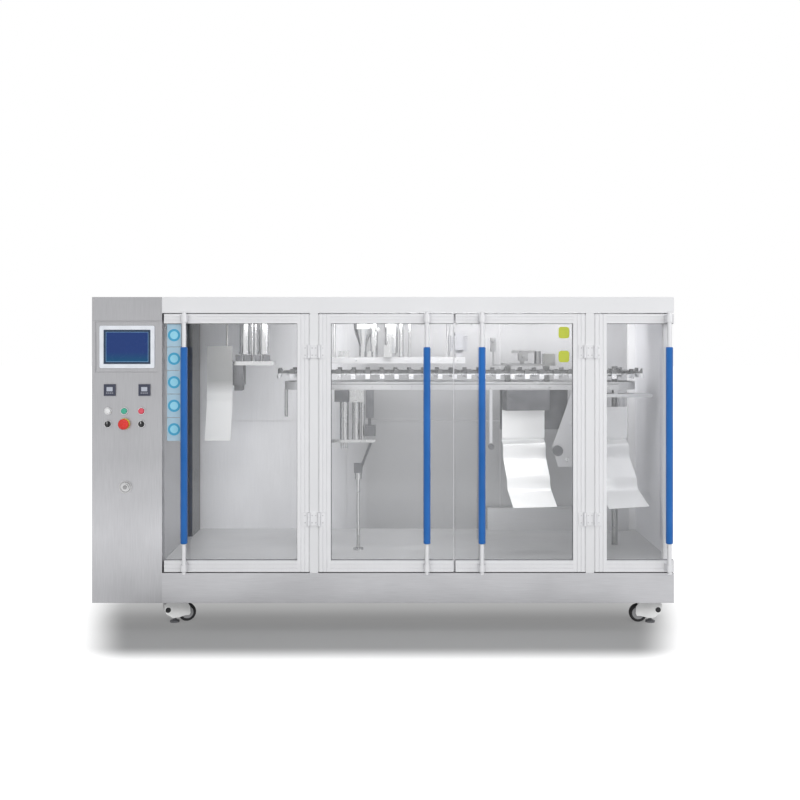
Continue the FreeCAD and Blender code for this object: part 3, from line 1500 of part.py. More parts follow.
def make_casters():
    """The white housing that turns about the stem, and the wheel in its fork."""
    half = "(caster_wheel_width / 2 + fork_play + fork_wall)"
    roof = "(axle_height + caster_wheel_radius + fork_play + 1.5)"
    top = "(swivel_height - seat_gap)"
    for name in CASTERS:
        body = add("PartDesign::Body", f"caster_{name}")
        side = sketch_on(body, "xz", f"{name}_side", f"-{half}")
        draw_outline(side, [
            ("-caster_tail", f"{roof} - 26"),
            ("-caster_tail + 10", f"{roof} - 48"),
            ("-stem_radius - 5", "pad_height + 12"),
            ("stem_radius + 5", "pad_height + 12"),
            ("trail - 12", "axle_height - 12"),
            ("trail + 8", "axle_height - 12"),
            ("trail + 14", "axle_height"),
            ("trail + 12", f"{roof} - 16"),
            ("trail", f"{roof} + 2"),
            ("boss_radius", f"{top} - 4"),
            ("boss_radius - 10", top),
            ("-boss_radius + 10", top),
            ("-caster_tail", f"{top} - 24"),
        ])
        pad(body, side, f"2 * {half}", f"{name}_pad")
        slot_half = "(caster_wheel_width / 2 + fork_play)"
        slot = sketch_on(body, "xz", f"{name}_slot", f"-{slot_half}")
        draw_outline(slot, [
            ("stem_radius + 5", "0"),
            ("trail + caster_wheel_radius", "0"),
            ("trail + caster_wheel_radius", f"{roof} - 3"),
            ("stem_radius + 5", f"{roof} - 3"),
        ])
        pocket(body, slot, f"2 * {slot_half}", f"{name}_slot_cut")
        bore = sketch_on(body, "xy", f"{name}_bore", "0")
        draw_circle(bore, ("0", "0"), "stem_radius + pin_play")
        pocket(body, bore, "chassis_bottom", f"{name}_bore_cut")
        axle = sketch_on(body, "xz", f"{name}_axle", f"-{half}")
        draw_circle(axle, ("trail", "axle_height"), "axle_radius")
        pad(body, axle, f"2 * {half}", f"{name}_axle_pad")
        turn_to_heading(body, name)
        Node.keep(body, f"caster_{name}")
        make_wheel(name)


def make_wheel(name):
    """A tyre on a hub, turned about its own axle."""
    body = add("PartDesign::Body", f"wheel_{name}")
    half = "caster_wheel_width / 2"
    section = sketch_on(body, "yz", f"{name}_section", "trail")
    inner = "(axle_radius + seat_gap)"
    draw_outline(section, [
        (f"-{half}", f"axle_height + {inner}"),
        (half, f"axle_height + {inner}"),
        (half, "axle_height + caster_wheel_radius - 6"),
        (f"{half} - 7", "axle_height + caster_wheel_radius"),
        (f"-{half} + 7", "axle_height + caster_wheel_radius"),
        (f"-{half}", "axle_height + caster_wheel_radius - 6"),
    ])
    line = section.addGeometry(Part.LineSegment(Vector(-20, number["axle_height"], 0),
                                                Vector(20, number["axle_height"], 0)), True)
    for end in (1, 2):
        held = Sketcher.Constraint("DistanceY", -1, 1, line, end, number["axle_height"])
        index = section.addConstraint(held)
        section.setExpression(f"Constraints[{index}]", linked("axle_height"))
    turn = body.newObject("PartDesign::Revolution", f"{name}_turn")
    turn.Profile = section
    turn.ReferenceAxis = (section, ["Axis0"])
    turn.Angle = 360
    turn_to_heading(body, name)
    Node.keep(body, f"wheel_{name}")


def check_and_export():
    """Stop if any object failed, then write each sub-part under its own name."""
    doc.recompute()
    for item in doc.Objects:
        if {"Invalid", "Error"} & set(item.State):
            raise RuntimeError(f"{item.Label} failed: {item.State}")
    for item in Node.made:
        if item.Shape.isNull() or not item.Shape.isValid():
            raise RuntimeError(f"{item.Label} has no valid shape")
    os.makedirs("parts", exist_ok=True)
    for item in Node.made:
        item.Shape.exportStep(f"parts/{item.Label}.step")


make_doors()
make_hinge_pins()
make_chassis()
make_skirts()
make_deck()
make_posts()
make_rails()
make_hood()
make_panels()
make_cabinet()
make_operator_panel()
make_controls()
make_chain()
make_turn_wheels()
make_track()
make_sealing_station()
make_guard()
make_duct()
make_filling_station()
make_opening_station()
make_lift_unit()
make_chutes()
make_side_plates()
make_trough()
make_caster_mounts()
make_casters()
check_and_export()
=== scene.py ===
import json
import math

import bmesh
import bpy
from mathutils import Matrix, Vector

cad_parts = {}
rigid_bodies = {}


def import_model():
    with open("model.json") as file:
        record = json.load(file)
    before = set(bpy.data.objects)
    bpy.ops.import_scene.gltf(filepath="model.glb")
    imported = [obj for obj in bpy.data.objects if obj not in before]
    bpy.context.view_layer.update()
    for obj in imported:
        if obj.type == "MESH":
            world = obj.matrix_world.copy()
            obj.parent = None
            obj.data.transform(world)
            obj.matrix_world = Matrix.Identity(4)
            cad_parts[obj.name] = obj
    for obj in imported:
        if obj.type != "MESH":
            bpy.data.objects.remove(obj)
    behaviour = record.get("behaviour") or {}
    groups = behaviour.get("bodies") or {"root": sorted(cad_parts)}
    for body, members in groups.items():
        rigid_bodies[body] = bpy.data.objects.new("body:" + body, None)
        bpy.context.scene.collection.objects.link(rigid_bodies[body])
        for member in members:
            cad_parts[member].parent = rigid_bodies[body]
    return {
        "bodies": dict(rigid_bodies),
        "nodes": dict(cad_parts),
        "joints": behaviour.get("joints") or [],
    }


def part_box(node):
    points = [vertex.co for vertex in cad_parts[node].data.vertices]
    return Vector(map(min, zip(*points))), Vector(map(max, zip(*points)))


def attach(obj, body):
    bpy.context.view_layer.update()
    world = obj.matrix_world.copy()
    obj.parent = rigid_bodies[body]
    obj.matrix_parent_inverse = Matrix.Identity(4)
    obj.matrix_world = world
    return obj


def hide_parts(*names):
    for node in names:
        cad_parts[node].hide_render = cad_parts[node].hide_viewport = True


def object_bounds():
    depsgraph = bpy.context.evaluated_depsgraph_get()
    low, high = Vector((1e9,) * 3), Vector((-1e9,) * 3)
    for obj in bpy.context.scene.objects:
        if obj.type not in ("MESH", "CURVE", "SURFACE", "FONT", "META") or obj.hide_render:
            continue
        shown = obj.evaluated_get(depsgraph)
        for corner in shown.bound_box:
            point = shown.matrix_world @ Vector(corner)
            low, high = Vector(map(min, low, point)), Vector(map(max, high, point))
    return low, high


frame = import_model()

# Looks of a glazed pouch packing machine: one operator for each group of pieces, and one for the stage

bl_info = {
    "name": "Pouch packing machine looks",
    "version": (1, 0, 0),
    "blender": (4, 5, 0),
    "location": "View3D > Sidebar > Packing machine",
    "description": "Finishes, labels and small fittings of a glazed pouch packing machine",
    "category": "Object",
}

MM = 0.001
NODES = frame["nodes"]
OWN_OBJECTS = set(NODES.values()) | set(frame["bodies"].values())
for leftover in [item for item in bpy.data.objects if item not in OWN_OBJECTS]:
    bpy.data.objects.remove(leftover)
CAD_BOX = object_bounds()

# Places read from the frame, in metres
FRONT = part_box("cabinet_front")[0].y
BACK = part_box("rear_posts")[1].y
GLASS_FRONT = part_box("door_a_glass")[0].y
PANEL_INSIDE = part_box("rear_panels")[0].y


# Settings that a user would change

class SteelLook(bpy.types.PropertyGroup):
    sheet: bpy.props.FloatVectorProperty(
        name="Sheet colour", description="Colour of the brushed sheets", subtype="COLOR",
        default=(0.445, 0.445, 0.46), min=0.0, max=1.0)
    wall: bpy.props.FloatVectorProperty(
        name="Inner wall colour", description="Colour of the brushed walls inside", subtype="COLOR",
        default=(0.62, 0.62, 0.635), min=0.0, max=1.0)
    roughness: bpy.props.FloatProperty(
        name="Roughness", description="How dull the brushed sheets are", default=0.36, min=0.05, max=1.0,
        subtype="FACTOR")
    edge: bpy.props.FloatProperty(
        name="Edge rounding", description="Radius of the sheets' broken edges", default=1.2 * MM, min=0.0,
        max=5 * MM, unit="LENGTH")


class PanelLook(bpy.types.PropertyGroup):
    pale: bpy.props.FloatVectorProperty(
        name="Pale panel colour", description="Colour of the roof and the posts", subtype="COLOR",
        default=(0.79, 0.79, 0.80), min=0.0, max=1.0)
    profile: bpy.props.FloatVectorProperty(
        name="Profile colour", description="Colour of the doors' aluminium profiles", subtype="COLOR",
        default=(0.75, 0.75, 0.765), min=0.0, max=1.0)
    clear: bpy.props.FloatProperty(
        name="Haze of the doors", description="How much the clear door sheets cover what is behind them",
        default=0.012, min=0.0, max=1.0, subtype="FACTOR")


class FoamLook(bpy.types.PropertyGroup):
    colour: bpy.props.FloatVectorProperty(
        name="Foam colour", description="Colour of the grips on the pull rods", subtype="COLOR",
        default=(0.012, 0.125, 0.42), min=0.0, max=1.0)
    cell: bpy.props.FloatProperty(
        name="Foam cell", description="Size of the foam's closed cells", default=1.4 * MM, min=0.2 * MM,
        max=5 * MM, unit="LENGTH")


class LabelLook(bpy.types.PropertyGroup):
    spot: bpy.props.FloatVectorProperty(
        name="Spot colour", description="Colour of the round spots on the tiles", subtype="COLOR",
        default=(0.055, 0.36, 0.58), min=0.0, max=1.0)
    tag: bpy.props.FloatVectorProperty(
        name="Tag colour", description="Colour of the two small tags", subtype="COLOR",
        default=(0.5, 0.55, 0.06), min=0.0, max=1.0)
    tile_height: bpy.props.FloatProperty(
        name="Tile height", description="Height of one tile of the strip", default=118 * MM, min=10 * MM,
        max=300 * MM, unit="LENGTH")


class StageLook(bpy.types.PropertyGroup):
    lens: bpy.props.FloatProperty(
        name="Lens", description="Focal length of the camera", default=50.4, min=10.0, max=300.0,
        subtype="DISTANCE_CAMERA")
    distance: bpy.props.FloatProperty(
        name="Camera distance", description="From the camera to the doors' plane", default=5.6, min=1.0,
        max=30.0, unit="LENGTH")
    height: bpy.props.FloatProperty(
        name="Camera height", description="Height of the camera over the floor", default=1.49, min=0.0,
        max=10.0, unit="LENGTH")
    # The floor glow is the glow left at the front of the floor's painted shadow.
    floor: bpy.props.FloatProperty(
        name="Floor glow", description="Light that the floor close to the machine adds for the camera",
        default=0.12, min=0.0, max=1.0, subtype="FACTOR")


def look():
    """The scene's settings for this machine."""
    return bpy.context.scene.packing_machine


class MachineLook(bpy.types.PropertyGroup):
    steel: bpy.props.PointerProperty(type=SteelLook, name="Steel", description="Brushed sheets")
    panel: bpy.props.PointerProperty(type=PanelLook, name="Panels", description="Pale panels and doors")
    foam: bpy.props.PointerProperty(type=FoamLook, name="Foam", description="Grips on the pull rods")
    label: bpy.props.PointerProperty(type=LabelLook, name="Labels", description="Tiles and tags")
    stage: bpy.props.PointerProperty(type=StageLook, name="Stage", description="Camera and floor")


# Materials

class Nodes:
    """A node tree, and the few steps that build one."""

    def __init__(self, tree):
        self.tree = tree

    def add(self, kind, **settings):
        node = self.tree.nodes.new(kind)
        for setting, value in settings.items():
            setattr(node, setting, value)
        return node

    def join(self, source, target):
        self.tree.links.new(source, target)

    def put(self, value, socket):
        """Feed a socket from another one, or give it a constant."""
        if isinstance(value, bpy.types.NodeSocket):
            self.join(value, socket)
        else:
            socket.default_value = value

    def math(self, operation, *values):
        node = self.add("ShaderNodeMath", operation=operation)
        for value, socket in zip(values, node.inputs):
            self.put(value, socket)
        return node.outputs["Value"]

    def vector_math(self, operation, *values, output="Vector"):
        node = self.add("ShaderNodeVectorMath", operation=operation)
        for value, socket in zip(values, node.inputs):
            self.put(value, socket)
        return node.outputs[output]

    def along(self, vector, axis):
        """One part of a vector: X, Y or Z."""
        split = self.add("ShaderNodeSeparateXYZ")
        self.join(vector, split.inputs["Vector"])
        return split.outputs[axis]

    def ranged(self, factor, low, high, start=0.3, end=0.7, curve="LINEAR"):
        """The factor from start to end, spread from low to high."""
        spread = self.add("ShaderNodeMapRange", interpolation_type=curve)
        for socket, value in (("Value", factor), ("From Min", start), ("From Max", end),
                              ("To Min", low), ("To Max", high)):
            self.put(value, spread.inputs[socket])
        return spread.outputs["Result"]

    def shown_share(self):
        """1 for rays from the camera, and for rays that a mirror or a clear sheet sends on."""
        path = self.add("ShaderNodeLightPath").outputs
        seen = self.math("MAXIMUM", path["Is Camera Ray"], path["Is Glossy Ray"])
        return self.math("MAXIMUM", seen, path["Is Transmission Ray"])


class Finish(Nodes):
    """One material: a Principled shader whose colour, roughness and height vary with layers of noise."""

    made = {}

    def __init__(self, name, colour, metallic, roughness, edge=0.0):
        self.material = bpy.data.materials.new(name)
        self.material.use_nodes = True
        super().__init__(self.material.node_tree)
        self.shader = self.tree.nodes["Principled BSDF"]
        self.set("Base Color", (*colour, 1.0))
        self.set("Metallic", metallic)
        self.set("Roughness", roughness)
        self.place = self.add("ShaderNodeTexCoord").outputs["Object"]
        self.normal = None
        if edge:
            rounding = self.add("ShaderNodeBevel", samples=4)
            rounding.inputs["Radius"].default_value = edge
            self.use_normal(rounding.outputs["Normal"])

    def set(self, socket, value):
        self.shader.inputs[socket].default_value = value

    def use_normal(self, socket):
        self.normal = socket
        self.join(socket, self.shader.inputs["Normal"])

    def noise(self, scale, stretch=(1.0, 1.0, 1.0), detail=3.0):
        """A noise factor in the object's own space; a small stretch draws it out along that axis."""
        mapping = self.add("ShaderNodeMapping")
        mapping.inputs["Scale"].default_value = stretch
        self.join(self.place, mapping.inputs["Vector"])
        cloud = self.add("ShaderNodeTexNoise")
        cloud.inputs["Scale"].default_value = scale
        cloud.inputs["Detail"].default_value = detail
        self.join(mapping.outputs["Vector"], cloud.inputs["Vector"])
        return cloud.outputs["Fac"]

    def cells(self, size):
        """Distance to the nearest cell centre of closed foam."""
        pattern = self.add("ShaderNodeTexVoronoi")
        pattern.inputs["Scale"].default_value = 1.0 / size
        self.join(self.place, pattern.inputs["Vector"])
        return pattern.outputs["Distance"]

    def tint(self, factor, low, high, start=0.3, end=0.7, only=None):
        """Darken or lighten the colour so far by a factor, or only where a mask is 1."""
        mix = self.add("ShaderNodeMix", data_type="RGBA", blend_type="MULTIPLY")
        mix.inputs["Factor"].default_value = 1.0
        if only:
            self.join(only, mix.inputs["Factor"])
        colour = self.shader.inputs["Base Color"]
        if colour.is_linked:
            self.join(colour.links[0].from_socket, mix.inputs["A"])
        else:
            mix.inputs["A"].default_value = colour.default_value
        self.join(self.ranged(factor, low, high, start, end), mix.inputs["B"])
        self.join(mix.outputs["Result"], colour)

    def dull(self, factor, low, high):
        """Vary the roughness."""
        self.join(self.ranged(factor, low, high), self.shader.inputs["Roughness"])

    def emboss(self, factor, depth, strength):
        """Raise the surface by a factor, depth in metres."""
        bump = self.add("ShaderNodeBump")
        bump.inputs["Strength"].default_value = strength
        bump.inputs["Distance"].default_value = depth
        self.join(factor, bump.inputs["Height"])
        if self.normal:
            self.join(self.normal, bump.inputs["Normal"])
        self.use_normal(bump.outputs["Normal"])


def once(make):
    """Make each material a single time and hand out the same one afterwards."""
    def made(*values):
        key = (make.__name__, *values)
        if key not in Finish.made:
            Finish.made[key] = make(*values).material
        return Finish.made[key]
    return made


# How noise is drawn out along the grain of a sheet
GRAINS = {"x": (0.02, 1.0, 1.0), "z": (1.0, 1.0, 0.02)}


@once
def brushed_sheet(grain, shade):
    """Stainless sheet with a long fine grain along one axis, handling marks and a broken edge; upright sheets
    also get a painted reflection low down and painted shade towards the foot.
    """
    steel = look().steel
    colour = tuple(channel * shade for channel in steel.sheet)
    finish = Finish(f"brushed_sheet_{grain}", colour, 0.9, steel.roughness, steel.edge)
    streaks = finish.noise(520.0, GRAINS[grain], 4.0)
    marks = finish.noise(2.2, detail=4.0)
    finish.tint(streaks, 0.93, 1.06)
    finish.tint(marks, 0.95, 1.04)
    # Painted reflection and shade on upright sheets by height: paler from 0.18 m to 0.85 m and brightest near
    # 0.45 to 0.5 m, so the foot looks darker than that band.
    if grain == "z":
        height = finish.along(finish.place, "Z")
        finish.tint(height, 1.2, 1.0, 0.5, 0.85)
        finish.tint(height, 0.82, 1.0, 0.18, 0.45)
    finish.dull(finish.noise(3.5, detail=5.0), steel.roughness - 0.06, steel.roughness + 0.08)
    finish.emboss(streaks, 0.03 * MM, 0.5)
    return finish


def wall_finish(name, colour, metallic, grain, light):
    """A paler brushed sheet: fine streaks along its grain, and soft marks."""
    finish = Finish(name, colour, metallic, 0.42, look().steel.edge)
    streaks = finish.noise(380.0, GRAINS[grain], 4.0)
    finish.tint(streaks, 0.95, light)
    finish.tint(finish.noise(1.4, detail=3.0), 0.93, light)
    finish.dull(finish.noise(2.5, detail=5.0), 0.36, 0.5)
    finish.emboss(streaks, 0.03 * MM, 0.4)
    return finish


@once
def inner_wall(grain):
    """Sheet of the trough, the columns and the side plates."""
    return wall_finish(f"inner_wall_{grain}", look().steel.wall, 0.75, grain, 1.04)


@once
def rear_wall():
    """The rear sheets; inside, painted light makes the left one paler and painted shade makes the middle one
    darker.
    """
    finish = wall_finish("rear_wall", look().steel.wall, 0.6, "z", 1.04)
    inside = finish.ranged(finish.along(finish.place, "Y"), 1.0, 0.0,
                           PANEL_INSIDE + 0.5 * MM, PANEL_INSIDE + 1 * MM)
    across = finish.along(finish.place, "X")
    # Painted light and shade on the inner faces only: paler at the left, darker from the middle to the right,
    # and a little paler again at the right end.
    for left_painted_tint, right_painted_tint, left, right in ((1.5, 1.38, -0.95, -0.7), (1.0, 0.48, -0.3, -0.1),
                                                 (1.0, 1.35, 0.85, 1.25)):
        finish.tint(across, left_painted_tint, right_painted_tint, left, right, inside)
    return finish


@once
def bright_wall():
    """The sheet at the right end, brighter than the rear ones: a paler copy of the wall sheet that carries
    painted light.
    """
    return wall_finish("bright_wall", (0.8, 0.8, 0.83), 0.35, "z", 1.03)


@once
def beam_metal():
    """Milled aluminium of the beams and the rail, greyer than the doors' profiles."""
    finish = Finish("beam_metal", (0.56, 0.56, 0.57), 0.4, 0.4, 0.8 * MM)
    cuts = finish.noise(600.0, GRAINS["x"], 3.0)
    finish.tint(cuts, 0.93, 1.04)
    finish.tint(finish.noise(9.0, (0.3, 1.0, 1.0), 4.0), 0.92, 1.04)
    finish.dull(finish.noise(14.0, detail=4.0), 0.32, 0.48)
    finish.emboss(cuts, 0.02 * MM, 0.4)
    return finish


@once
def gripper_steel():
    """The grippers: links above darkened with painted shade, jaws below brightened with painted light."""
    finish = Finish("gripper_steel", (0.8, 0.8, 0.82), 0.55, 0.3, 0.5 * MM)
    low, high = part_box("gripper_chain")
    tall = high.z - low.z
    # Painted shade on the upper half and painted light on the jaws below, split at the chain's middle height.
    finish.tint(finish.along(finish.place, "Z"), 1.1, 0.22, low.z + tall * 0.45, low.z + tall * 0.55)
    finish.tint(finish.noise(900.0, (1.0, 0.08, 1.0), 3.0), 0.9, 1.05)
    finish.tint(finish.noise(14.0, detail=4.0), 0.82, 1.05)
    finish.dull(finish.noise(22.0, detail=4.0), 0.22, 0.4)
    finish.emboss(finish.noise(700.0, detail=3.0), 0.02 * MM, 0.4)
    return finish


@once
def guard_sheet():
    """Bright sheet of the outfeed guard, darker on its upright upper half with painted shade."""
    finish = Finish("guard_sheet", (0.66, 0.66, 0.66), 0.25, 0.4, 0.6 * MM)
    low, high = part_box("outfeed_guard")
    fold = low.z + (high.z - low.z) * 0.4
    # Painted shade: the upright upper half above the fold is darkened to half.
    finish.tint(finish.along(finish.place, "Z"), 1.05, 0.5, fold - 10 * MM, fold + 60 * MM)
    finish.tint(finish.noise(3.0, (1.0, 1.0, 2.0), 3.0), 0.94, 1.03)
    finish.dull(finish.noise(12.0, (0.3, 1.0, 1.0), 4.0), 0.34, 0.46)
    finish.emboss(finish.noise(500.0, GRAINS["z"], 3.0), 0.01 * MM, 0.2)
    return finish


@once
def deck_sheet():
    """Bright sheet of the inner floor, wiped in long strokes, and darker towards the right with painted
    shade.
    """
    finish = Finish("deck_sheet", (0.68, 0.68, 0.69), 0.3, 0.36, 0.8 * MM)
    # Painted shade: darker towards the right.
    finish.tint(finish.along(finish.place, "X"), 1.0, 0.7, 0.1, 0.6)
    finish.tint(finish.noise(300.0, GRAINS["x"], 4.0), 0.95, 1.04)
    finish.tint(finish.noise(2.0, detail=4.0), 0.9, 1.03)
    finish.dull(finish.noise(5.0, (0.4, 1.0, 1.0), 5.0), 0.3, 0.45)
    finish.emboss(finish.noise(380.0, GRAINS["x"], 3.0), 0.02 * MM, 0.3)
    return finish


@once
def pale_paint():
    """Satin powder coat with a faint orange peel."""
    finish = Finish("pale_paint", look().panel.pale, 0.0, 0.42, 1.5 * MM)
    finish.tint(finish.noise(1.8, detail=3.0), 0.975, 1.01)
    finish.dull(finish.noise(6.0, detail=4.0), 0.36, 0.5)
    finish.emboss(finish.noise(420.0, detail=2.0), 0.05 * MM, 0.35)
    return finish


@once
def anodised():
    """Drawn and anodised aluminium, with die lines along its length."""
    finish = Finish("anodised_aluminium", look().panel.profile, 0.35, 0.4, 0.8 * MM)
    lines = finish.noise(700.0, (1.0, 1.0, 0.03), 3.0)
    finish.tint(lines, 0.97, 1.02)
    finish.tint(finish.noise(3.0, detail=3.0), 0.97, 1.01)
    finish.dull(finish.noise(9.0, detail=4.0), 0.34, 0.46)
    finish.emboss(lines, 0.02 * MM, 0.3)
    return finish


@once
def machined(shade):
    """Milled and ground steel parts."""
    finish = Finish("machined_steel", (shade, shade, shade * 1.02), 0.9, 0.32, 0.6 * MM)
    cuts = finish.noise(900.0, (1.0, 0.08, 1.0), 3.0)
    finish.tint(cuts, 0.9, 1.05)
    finish.tint(finish.noise(14.0, detail=4.0), 0.86, 1.05)
    finish.dull(finish.noise(22.0, detail=4.0), 0.25, 0.42)
    finish.emboss(cuts, 0.02 * MM, 0.4)
    return finish


@once
def polished(name, shade, roughness):
    """Bright polished steel with faint wipe marks."""
    finish = Finish(name, (shade, shade, shade * 1.01), 1.0, roughness, 0.5 * MM)
    finish.tint(finish.noise(8.0, detail=3.0), 0.95, 1.02)
    finish.dull(finish.noise(30.0, (1.0, 1.0, 0.3), 5.0), roughness * 0.7, roughness * 1.5)
    finish.emboss(finish.noise(60.0, detail=2.0), 0.02 * MM, 0.2)
    return finish


@once
def satin_sheet():
    """Bright satin sheet of the slides, with wipe marks across it."""
    finish = Finish("satin_sheet", (0.92, 0.92, 0.92), 0.5, 0.28, 0.6 * MM)
    finish.tint(finish.noise(3.0, (1.0, 1.0, 2.0), 3.0), 0.95, 1.03)
    finish.dull(finish.noise(12.0, (0.3, 1.0, 1.0), 4.0), 0.3, 0.42)
    finish.emboss(finish.noise(500.0, GRAINS["x"], 3.0), 0.01 * MM, 0.2)
    return finish


@once
def dark_coat():
    """Dark coated steel of the jaws, boxes and chassis, a little worn; on the chute boxes the dark also
    stands for painted shade.
    """
    finish = Finish("dark_coat", (0.14, 0.14, 0.15), 0.35, 0.48, 0.8 * MM)
    finish.tint(finish.noise(18.0, detail=5.0), 0.8, 1.25)
    finish.dull(finish.noise(40.0, detail=4.0), 0.38, 0.6)
    finish.emboss(finish.noise(500.0, detail=2.0), 0.03 * MM, 0.3)
    return finish


@once
def moulded(name, red, green, blue, roughness):
    """Moulded plastic with a fine mould grain."""
    finish = Finish(name, (red, green, blue), 0.0, roughness, 0.5 * MM)
    finish.tint(finish.noise(25.0, detail=3.0), 0.94, 1.05)
    finish.dull(finish.noise(60.0, detail=3.0), roughness * 0.85, min(1.0, roughness * 1.2))
    finish.emboss(finish.noise(1800.0, detail=1.0), 0.02 * MM, 0.25)
    return finish


@once
def foam():
    """Closed-cell foam rubber of the grips, a little rubbed along the middle."""
    settings = look().foam
    finish = Finish("blue_foam", settings.colour, 0.0, 0.62)
    cells = finish.cells(settings.cell)
    finish.tint(finish.noise(14.0, (1.0, 1.0, 0.25), 4.0), 0.86, 1.12)
    finish.tint(cells, 0.9, 1.05, 0.1, 0.6)
    finish.dull(finish.noise(10.0, detail=3.0), 0.5, 0.72)
    finish.emboss(cells, 0.12 * MM, 0.5)
    finish.set("Sheen Weight", 0.2)
    return finish


@once
def tyre_rubber():
    """Black rubber of the tyres, a little dusty."""
    finish = Finish("tyre_rubber", (0.022, 0.022, 0.023), 0.0, 0.65, 1.0 * MM)
    finish.tint(finish.noise(60.0, detail=4.0), 0.7, 1.6)
    finish.dull(finish.noise(80.0, detail=3.0), 0.5, 0.8)
    finish.emboss(finish.noise(700.0, detail=2.0), 0.05 * MM, 0.4)
    return finish


@once
def clear_sheet():
    """Clear door sheet: almost nothing but a faint mirror, which grows at a slant."""
    finish = Finish("clear_sheet", (0.9, 0.93, 0.94), 1.0, 0.04)
    slant = finish.add("ShaderNodeLayerWeight")
    steep = finish.math("POWER", slant.outputs["Facing"], 5.0)
    mirror = finish.ranged(steep, 0.035, 0.8, 0.0, 1.0)
    haze = look().panel.clear
    wipes = finish.noise(3.0, (1.0, 1.0, 0.4), 5.0)
    base = finish.ranged(wipes, haze * 0.7, haze * 1.3)
    total = finish.add("ShaderNodeMath", operation="ADD", use_clamp=True)
    finish.join(base, total.inputs[0])
    finish.join(mirror, total.inputs[1])
    finish.join(total.outputs["Value"], finish.shader.inputs["Alpha"])
    finish.dull(wipes, 0.03, 0.07)
    return finish


@once
def screen_glass():
    """The lit screen: navy that turns to teal at the lower edge, under a glossy cover."""
    finish = Finish("screen_glass", (0.02, 0.045, 0.16), 0.0, 0.25)
    low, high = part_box("hmi_screen")
    level = finish.ranged(finish.along(finish.place, "Z"), 0.0, 1.0, low.z, low.z + (high.z - low.z) * 0.35)
    mix = finish.add("ShaderNodeMix", data_type="RGBA")
    mix.inputs["A"].default_value = (0.012, 0.085, 0.16, 1.0)
    mix.inputs["B"].default_value = (0.02, 0.045, 0.16, 1.0)
    finish.join(level, mix.inputs["Factor"])
    finish.join(mix.outputs["Result"], finish.shader.inputs["Base Color"])
    finish.join(mix.outputs["Result"], finish.shader.inputs["Emission Color"])
    finish.set("Emission Strength", 0.22)
    finish.set("Specular IOR Level", 0.12)
    finish.dull(finish.noise(40.0, detail=3.0), 0.2, 0.3)
    return finish


@once
def print_film(name, red, green, blue):
    """Printed film of the labels, with a slight unevenness."""
    finish = Finish(name, (red, green, blue), 0.0, 0.35)
    finish.tint(finish.noise(30.0, detail=3.0), 0.95, 1.04)
    finish.dull(finish.noise(50.0, detail=3.0), 0.3, 0.42)
    finish.emboss(finish.noise(300.0, detail=2.0), 0.01 * MM, 0.3)
    return finish


def dress(material, *nodes):
    """Give CAD nodes a material."""
    for name in nodes:
        for slot in NODES[name].material_slots:
            slot.material = material


# Mesh tools

SHARP_ANGLE = math.radians(32)
AXES = {
    "y": Matrix.Rotation(math.radians(-90), 4, "X"),
    "-y": Matrix.Rotation(math.radians(90), 4, "X"),
    "z": Matrix.Identity(4),
}


def finish_piece(name, mesh_data, material, body, smooth=True):
    """Turn a bmesh into a named piece that rides on a body."""
    mesh = bpy.data.meshes.new(name)
    bmesh.ops.recalc_face_normals(mesh_data, faces=mesh_data.faces)
    mesh_data.to_mesh(mesh)
    mesh_data.free()
    if smooth:
        mesh.polygons.foreach_set("use_smooth", [True] * len(mesh.polygons))
        mesh.set_sharp_from_angle(angle=SHARP_ANGLE)
    mesh.materials.append(material)
    piece = bpy.data.objects.new(name, mesh)
    bpy.context.scene.collection.objects.link(piece)
    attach(piece, body)
    return piece


def turn(mesh_data, profile, spot, axis, steps):
    """Add a turned form: (radius, height) pairs about an axis, named or a vector, that starts at a spot."""
    turned = AXES[axis] if isinstance(axis, str) else axis.to_track_quat("Z", "Y").to_matrix().to_4x4()
    place = Matrix.Translation(spot) @ turned
    rings = []
    for radius, height in profile:
        if radius < 1e-6:
            rings.append([mesh_data.verts.new(place @ Vector((0, 0, height)))])
            continue
        ring = []
        for step in range(steps):
            angle = 2 * math.pi * step / steps
            point = Vector((radius * math.cos(angle), radius * math.sin(angle), height))
            ring.append(mesh_data.verts.new(place @ point))
        rings.append(ring)
    for low, high in zip(rings, rings[1:]):
        for step in range(steps):
            after = (step + 1) % steps
            if len(low) == 1:
                mesh_data.faces.new((low[0], high[step], high[after]))
            elif len(high) == 1:
                mesh_data.faces.new((low[step], low[after], high[0]))
            else:
                mesh_data.faces.new((low[step], low[after], high[after], high[step]))


def block(mesh_data, low, high):
    """Add a box between two corners."""
    low, high = Vector(low), Vector(high)
    made = bmesh.ops.create_cube(mesh_data, size=1.0)
    size = high - low
    for vert in made["verts"]:
        vert.co = Vector((vert.co[i] * size[i] + (low[i] + high[i]) / 2 for i in range(3)))


def rim(mesh_data, outer, inner, front, back):
    """Add four bars between two upright rectangles, each given as left, right, bottom and top."""
    left, right, bottom, top = outer
    inner_left, inner_right, inner_bottom, inner_top = inner
    for x0, x1, z0, z1 in ((left, right, bottom, inner_bottom), (left, right, inner_top, top),
                           (left, inner_left, inner_bottom, inner_top),
                           (inner_right, right, inner_bottom, inner_top)):
        block(mesh_data, (x0, front, z0), (x1, back, z1))


